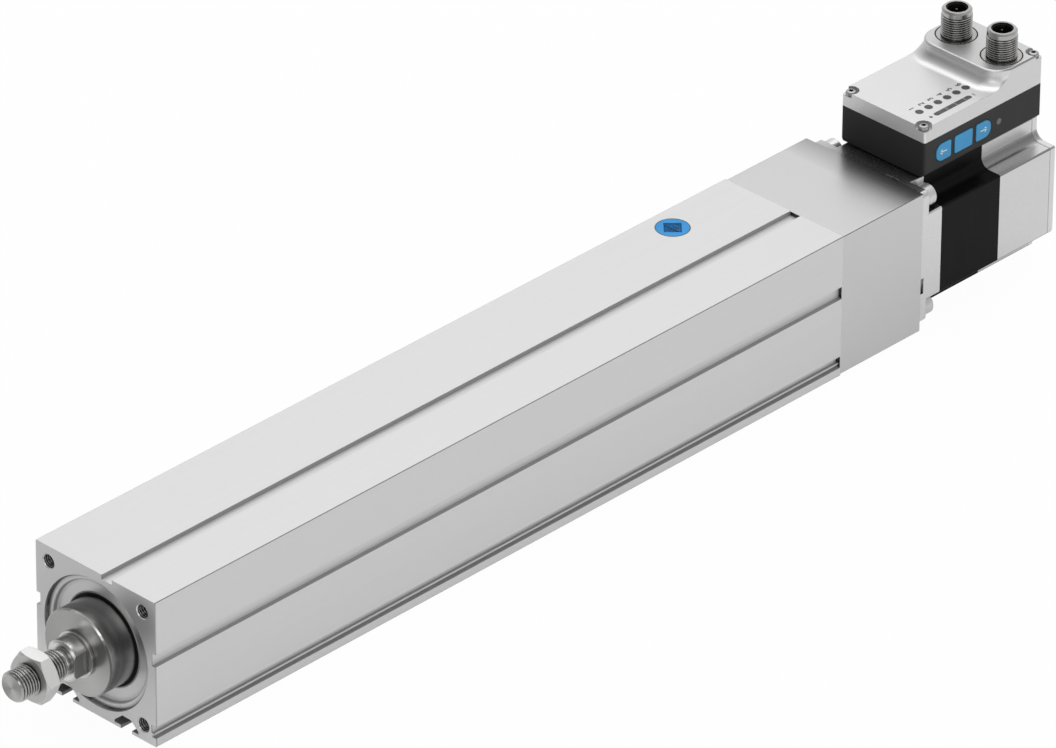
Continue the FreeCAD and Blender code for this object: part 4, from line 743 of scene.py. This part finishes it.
# Signs as runs of (u, v)
DIGITS = (
    [[(1.0, 4.8), (2.0, 6.0), (2.0, 0.0)]],
    [[(0.1, 4.7), (0.6, 5.6), (1.6, 6.0), (2.6, 5.5), (2.9, 4.5), (2.4, 3.2), (0.0, 0.0), (3.0, 0.0)]],
    [[(0.1, 5.3), (1.1, 6.0), (2.3, 5.8), (2.8, 4.8), (2.4, 3.6), (1.3, 3.2), (2.6, 2.7), (3.0, 1.6),
      (2.4, 0.4), (1.2, 0.0), (0.0, 0.7)]],
    [[(2.3, 0.0), (2.3, 6.0), (0.0, 1.8), (3.2, 1.8)]],
    [[(2.8, 6.0), (0.4, 6.0), (0.2, 3.4), (1.4, 3.8), (2.6, 3.3), (3.0, 2.0), (2.5, 0.6), (1.3, 0.0),
      (0.0, 0.6)]],
    [[(2.6, 5.5), (1.6, 6.0), (0.6, 5.2), (0.0, 3.2), (0.2, 1.2), (1.1, 0.1), (2.2, 0.2), (2.9, 1.3),
      (2.7, 2.7), (1.7, 3.4), (0.7, 2.9), (0.1, 2.0)]],
)
MINUS = [[(-1.0, 0.0), (1.0, 0.0)]]
PLUS = MINUS + [[(0.0, -1.0), (0.0, 1.0)]]
ARROW = MINUS + [[(0.4, 0.6), (1.0, 0.0), (0.4, -0.6)]]

# How far a digit's foot is from its light's middle, across and along the row
DIGIT_SIDE = 2.9 * MM
DIGIT_DROP = 0.75 * MM
DIGIT_SIZE = 0.38 * MM

# How far the signs are from the ends of the level bar
PLUS_GAP = 2.1 * MM
MINUS_GAP = 1.6 * MM
SIGN_SIZE = 0.8 * MM

# A number beside each light, and a plus and a minus at the ends of the level bar
light_low, light_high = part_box("status_light_guides")
light_row = (light_low.y + light_high.y) / 2
light_radius = (light_high.y - light_low.y) / 2
first_light = light_high.x - light_radius
last_light = light_low.x + light_radius
marks = []
for n, digit in enumerate(DIGITS):
    x = first_light + (last_light - first_light) * n / (len(DIGITS) - 1)
    marks += scaled(digit, DIGIT_SIZE, -light_row + DIGIT_SIDE, x - DIGIT_DROP)
bar_low, bar_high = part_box("level_light_guide")
bar_row = (bar_low.y + bar_high.y) / 2
marks += scaled(PLUS, SIGN_SIZE, -bar_row, bar_high.x + PLUS_GAP)
marks += scaled(MINUS, SIGN_SIZE, -bar_row, bar_low.x - MINUS_GAP)
strokes("deck_marks", marks, 0.42 * MM, on_top(light_high.z), "print_dark", "cylinder")

# Three ticks on the level bar
TICK_INSET = 0.1 * MM
TICK_SHIFT = 1.6 * MM
ticks = []
for quarter in (1, 2, 3):
    x = bar_high.x + (bar_low.x - bar_high.x) * quarter / 4 - TICK_SHIFT
    ticks.append([(-bar_high.y + TICK_INSET, x), (-bar_low.y - TICK_INSET, x)])
strokes("level_ticks", ticks, 0.7 * MM, on_top(bar_high.z), "pale_lens", "cylinder")

# A painted shadow line round the vent's rim, where the cap meets the profile
RIM_INSET = 0.15 * MM
vent_low, vent_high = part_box("vent_filter_cap")
vent_middle = (vent_low + vent_high) / 2
vent_radius = (vent_high.x - vent_low.x) / 2 - RIM_INSET


def on_vent(u, v, height):
    return Vector((vent_middle.x + u, vent_middle.y + v, vent_high.z + height))


rim = [(vent_radius * math.cos(a), vent_radius * math.sin(a)) for a in full_turn(72) + [2 * math.pi]]
strokes("vent_rim_shadow", [rim], 0.3 * MM, on_vent, "shadow_gap", "cylinder")


# An arrow on each of the two outer keys

def on_key(key, way):
    """A key's face, with u towards +X or -X."""
    low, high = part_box(key)
    middle = (low + high) / 2
    return lambda u, v, height: Vector((middle.x + way * u, high.y + height, middle.z + v))


for key, way in (("key_back", 1), ("key_forward", -1)):
    arrow = scaled(ARROW, 1.75 * MM, 0, 0)
    strokes(key + "_arrow", arrow, 0.45 * MM, on_key(key, way), "print_white", key)


# Camera, light and floor

VIEW_FROM = (2.283037, 2.397378, 2.117873)
VIEW_AT = (-0.2186687, 0, 0.0166662)
VIEW_ROLL = 0.48767
MIDDLE = (-0.2, 0, 0)

# The room's level, and what is added to it round each direction between two cosines of the angle to it
ROOM_LEVEL = 0.50
ROOM_LIGHT = (
    ((-0.62, -0.59, 0.52), 0.00, 0.95, 0.42),
    ((0.85, -0.45, 0.25), 0.30, 0.95, -0.30),
    ((0.75, 0.40, 0.50), 0.945, 0.985, 1.6),
)

# The floor's height and half width, and how white it is to the camera and in gloss
FLOOR_LEVEL = -0.0302
FLOOR_REACH = 12
WHITE_SEEN = 0.97
WHITE_IN_GLOSS = 0.45


def aimed(place, target):
    """A place whose -Z looks at a target."""
    away = Vector(place) - Vector(target)
    return Matrix.Translation(place) @ away.to_track_quat("Z", "Y").to_matrix().to_4x4()


camera = bpy.data.cameras.new("camera")
camera.sensor_fit = "HORIZONTAL"
camera.sensor_width = 36
camera.lens = 380.152
camera.clip_end = 50
viewer = placed("camera", camera)
viewer.matrix_world = aimed(VIEW_FROM, VIEW_AT) @ Matrix.Rotation(math.radians(VIEW_ROLL), 4, "Z")
bpy.context.scene.camera = viewer


def lamp(name, place, size, level):
    """A square soft light aimed at the middle.

    Its level is the share of white that it adds to a white surface facing it."""
    data = bpy.data.lights.new(name, "AREA")
    data.shape = "SQUARE"
    data.size = size
    data.energy = level * math.pi ** 2 * (Vector(place) - Vector(MIDDLE)).length ** 2
    placed(name, data).matrix_world = aimed(place, MIDDLE)


lamp("top_light", (-0.9, -0.5, 1.6), 1.6, 0.30)
lamp("side_light", (-0.6, 2.0, 0.7), 1.4, 0.12)


def studio():
    """A pale room: brighter over the far side, darker before the front end, with a panel by the viewer."""
    world = bpy.data.worlds.new("studio")
    world.use_nodes = True
    made = Nodes(world.node_tree)
    way = made.add("ShaderNodeTexCoord").outputs["Generated"]
    level = ROOM_LEVEL
    for direction, start, end, amount in ROOM_LIGHT:
        cosine = made.vectors("DOT_PRODUCT", way, direction)
        level = made.maths("ADD", made.span(cosine, start, end, 0.0, amount, smooth=True), level)
    background = made.tree.nodes["Background"]
    background.inputs["Color"].default_value = (1, 1, 1, 1)
    made.join(level, background.inputs["Strength"])
    bpy.context.scene.world = world


def floor():
    """A pale floor that keeps the shadow and shows white behind the object and, in part, in its gloss."""
    made = Surface("floor")
    made.shader.inputs["Base Color"].default_value = (*grey(0.88), 1)
    made.shader.inputs["Roughness"].default_value = 0.9
    path = made.add("ShaderNodeLightPath").outputs
    seen = made.maths("MULTIPLY", path["Is Camera Ray"], WHITE_SEEN)
    share = made.maths("MULTIPLY_ADD", path["Is Glossy Ray"], WHITE_IN_GLOSS, seen)
    glow = made.add("ShaderNodeEmission")
    glow.inputs["Strength"].default_value = 1.0
    mix = made.add("ShaderNodeMixShader")
    made.join(share, mix.inputs["Fac"])
    made.join(made.shader.outputs["BSDF"], mix.inputs[1])
    made.join(glow.outputs["Emission"], mix.inputs[2])
    made.join(mix.outputs["Shader"], made.output.inputs["Surface"])
    mesh = bpy.data.meshes.new("floor")
    corners = ((-1, -1), (1, -1), (1, 1), (-1, 1))
    points = [(x * FLOOR_REACH, y * FLOOR_REACH, FLOOR_LEVEL) for x, y in corners]
    mesh.from_pydata(points, [], [(0, 1, 2, 3)])
    mesh.materials.append(made.material)
    plane = placed("floor", mesh)


studio()
floor()
bpy.context.scene.view_settings.view_transform = "Standard"
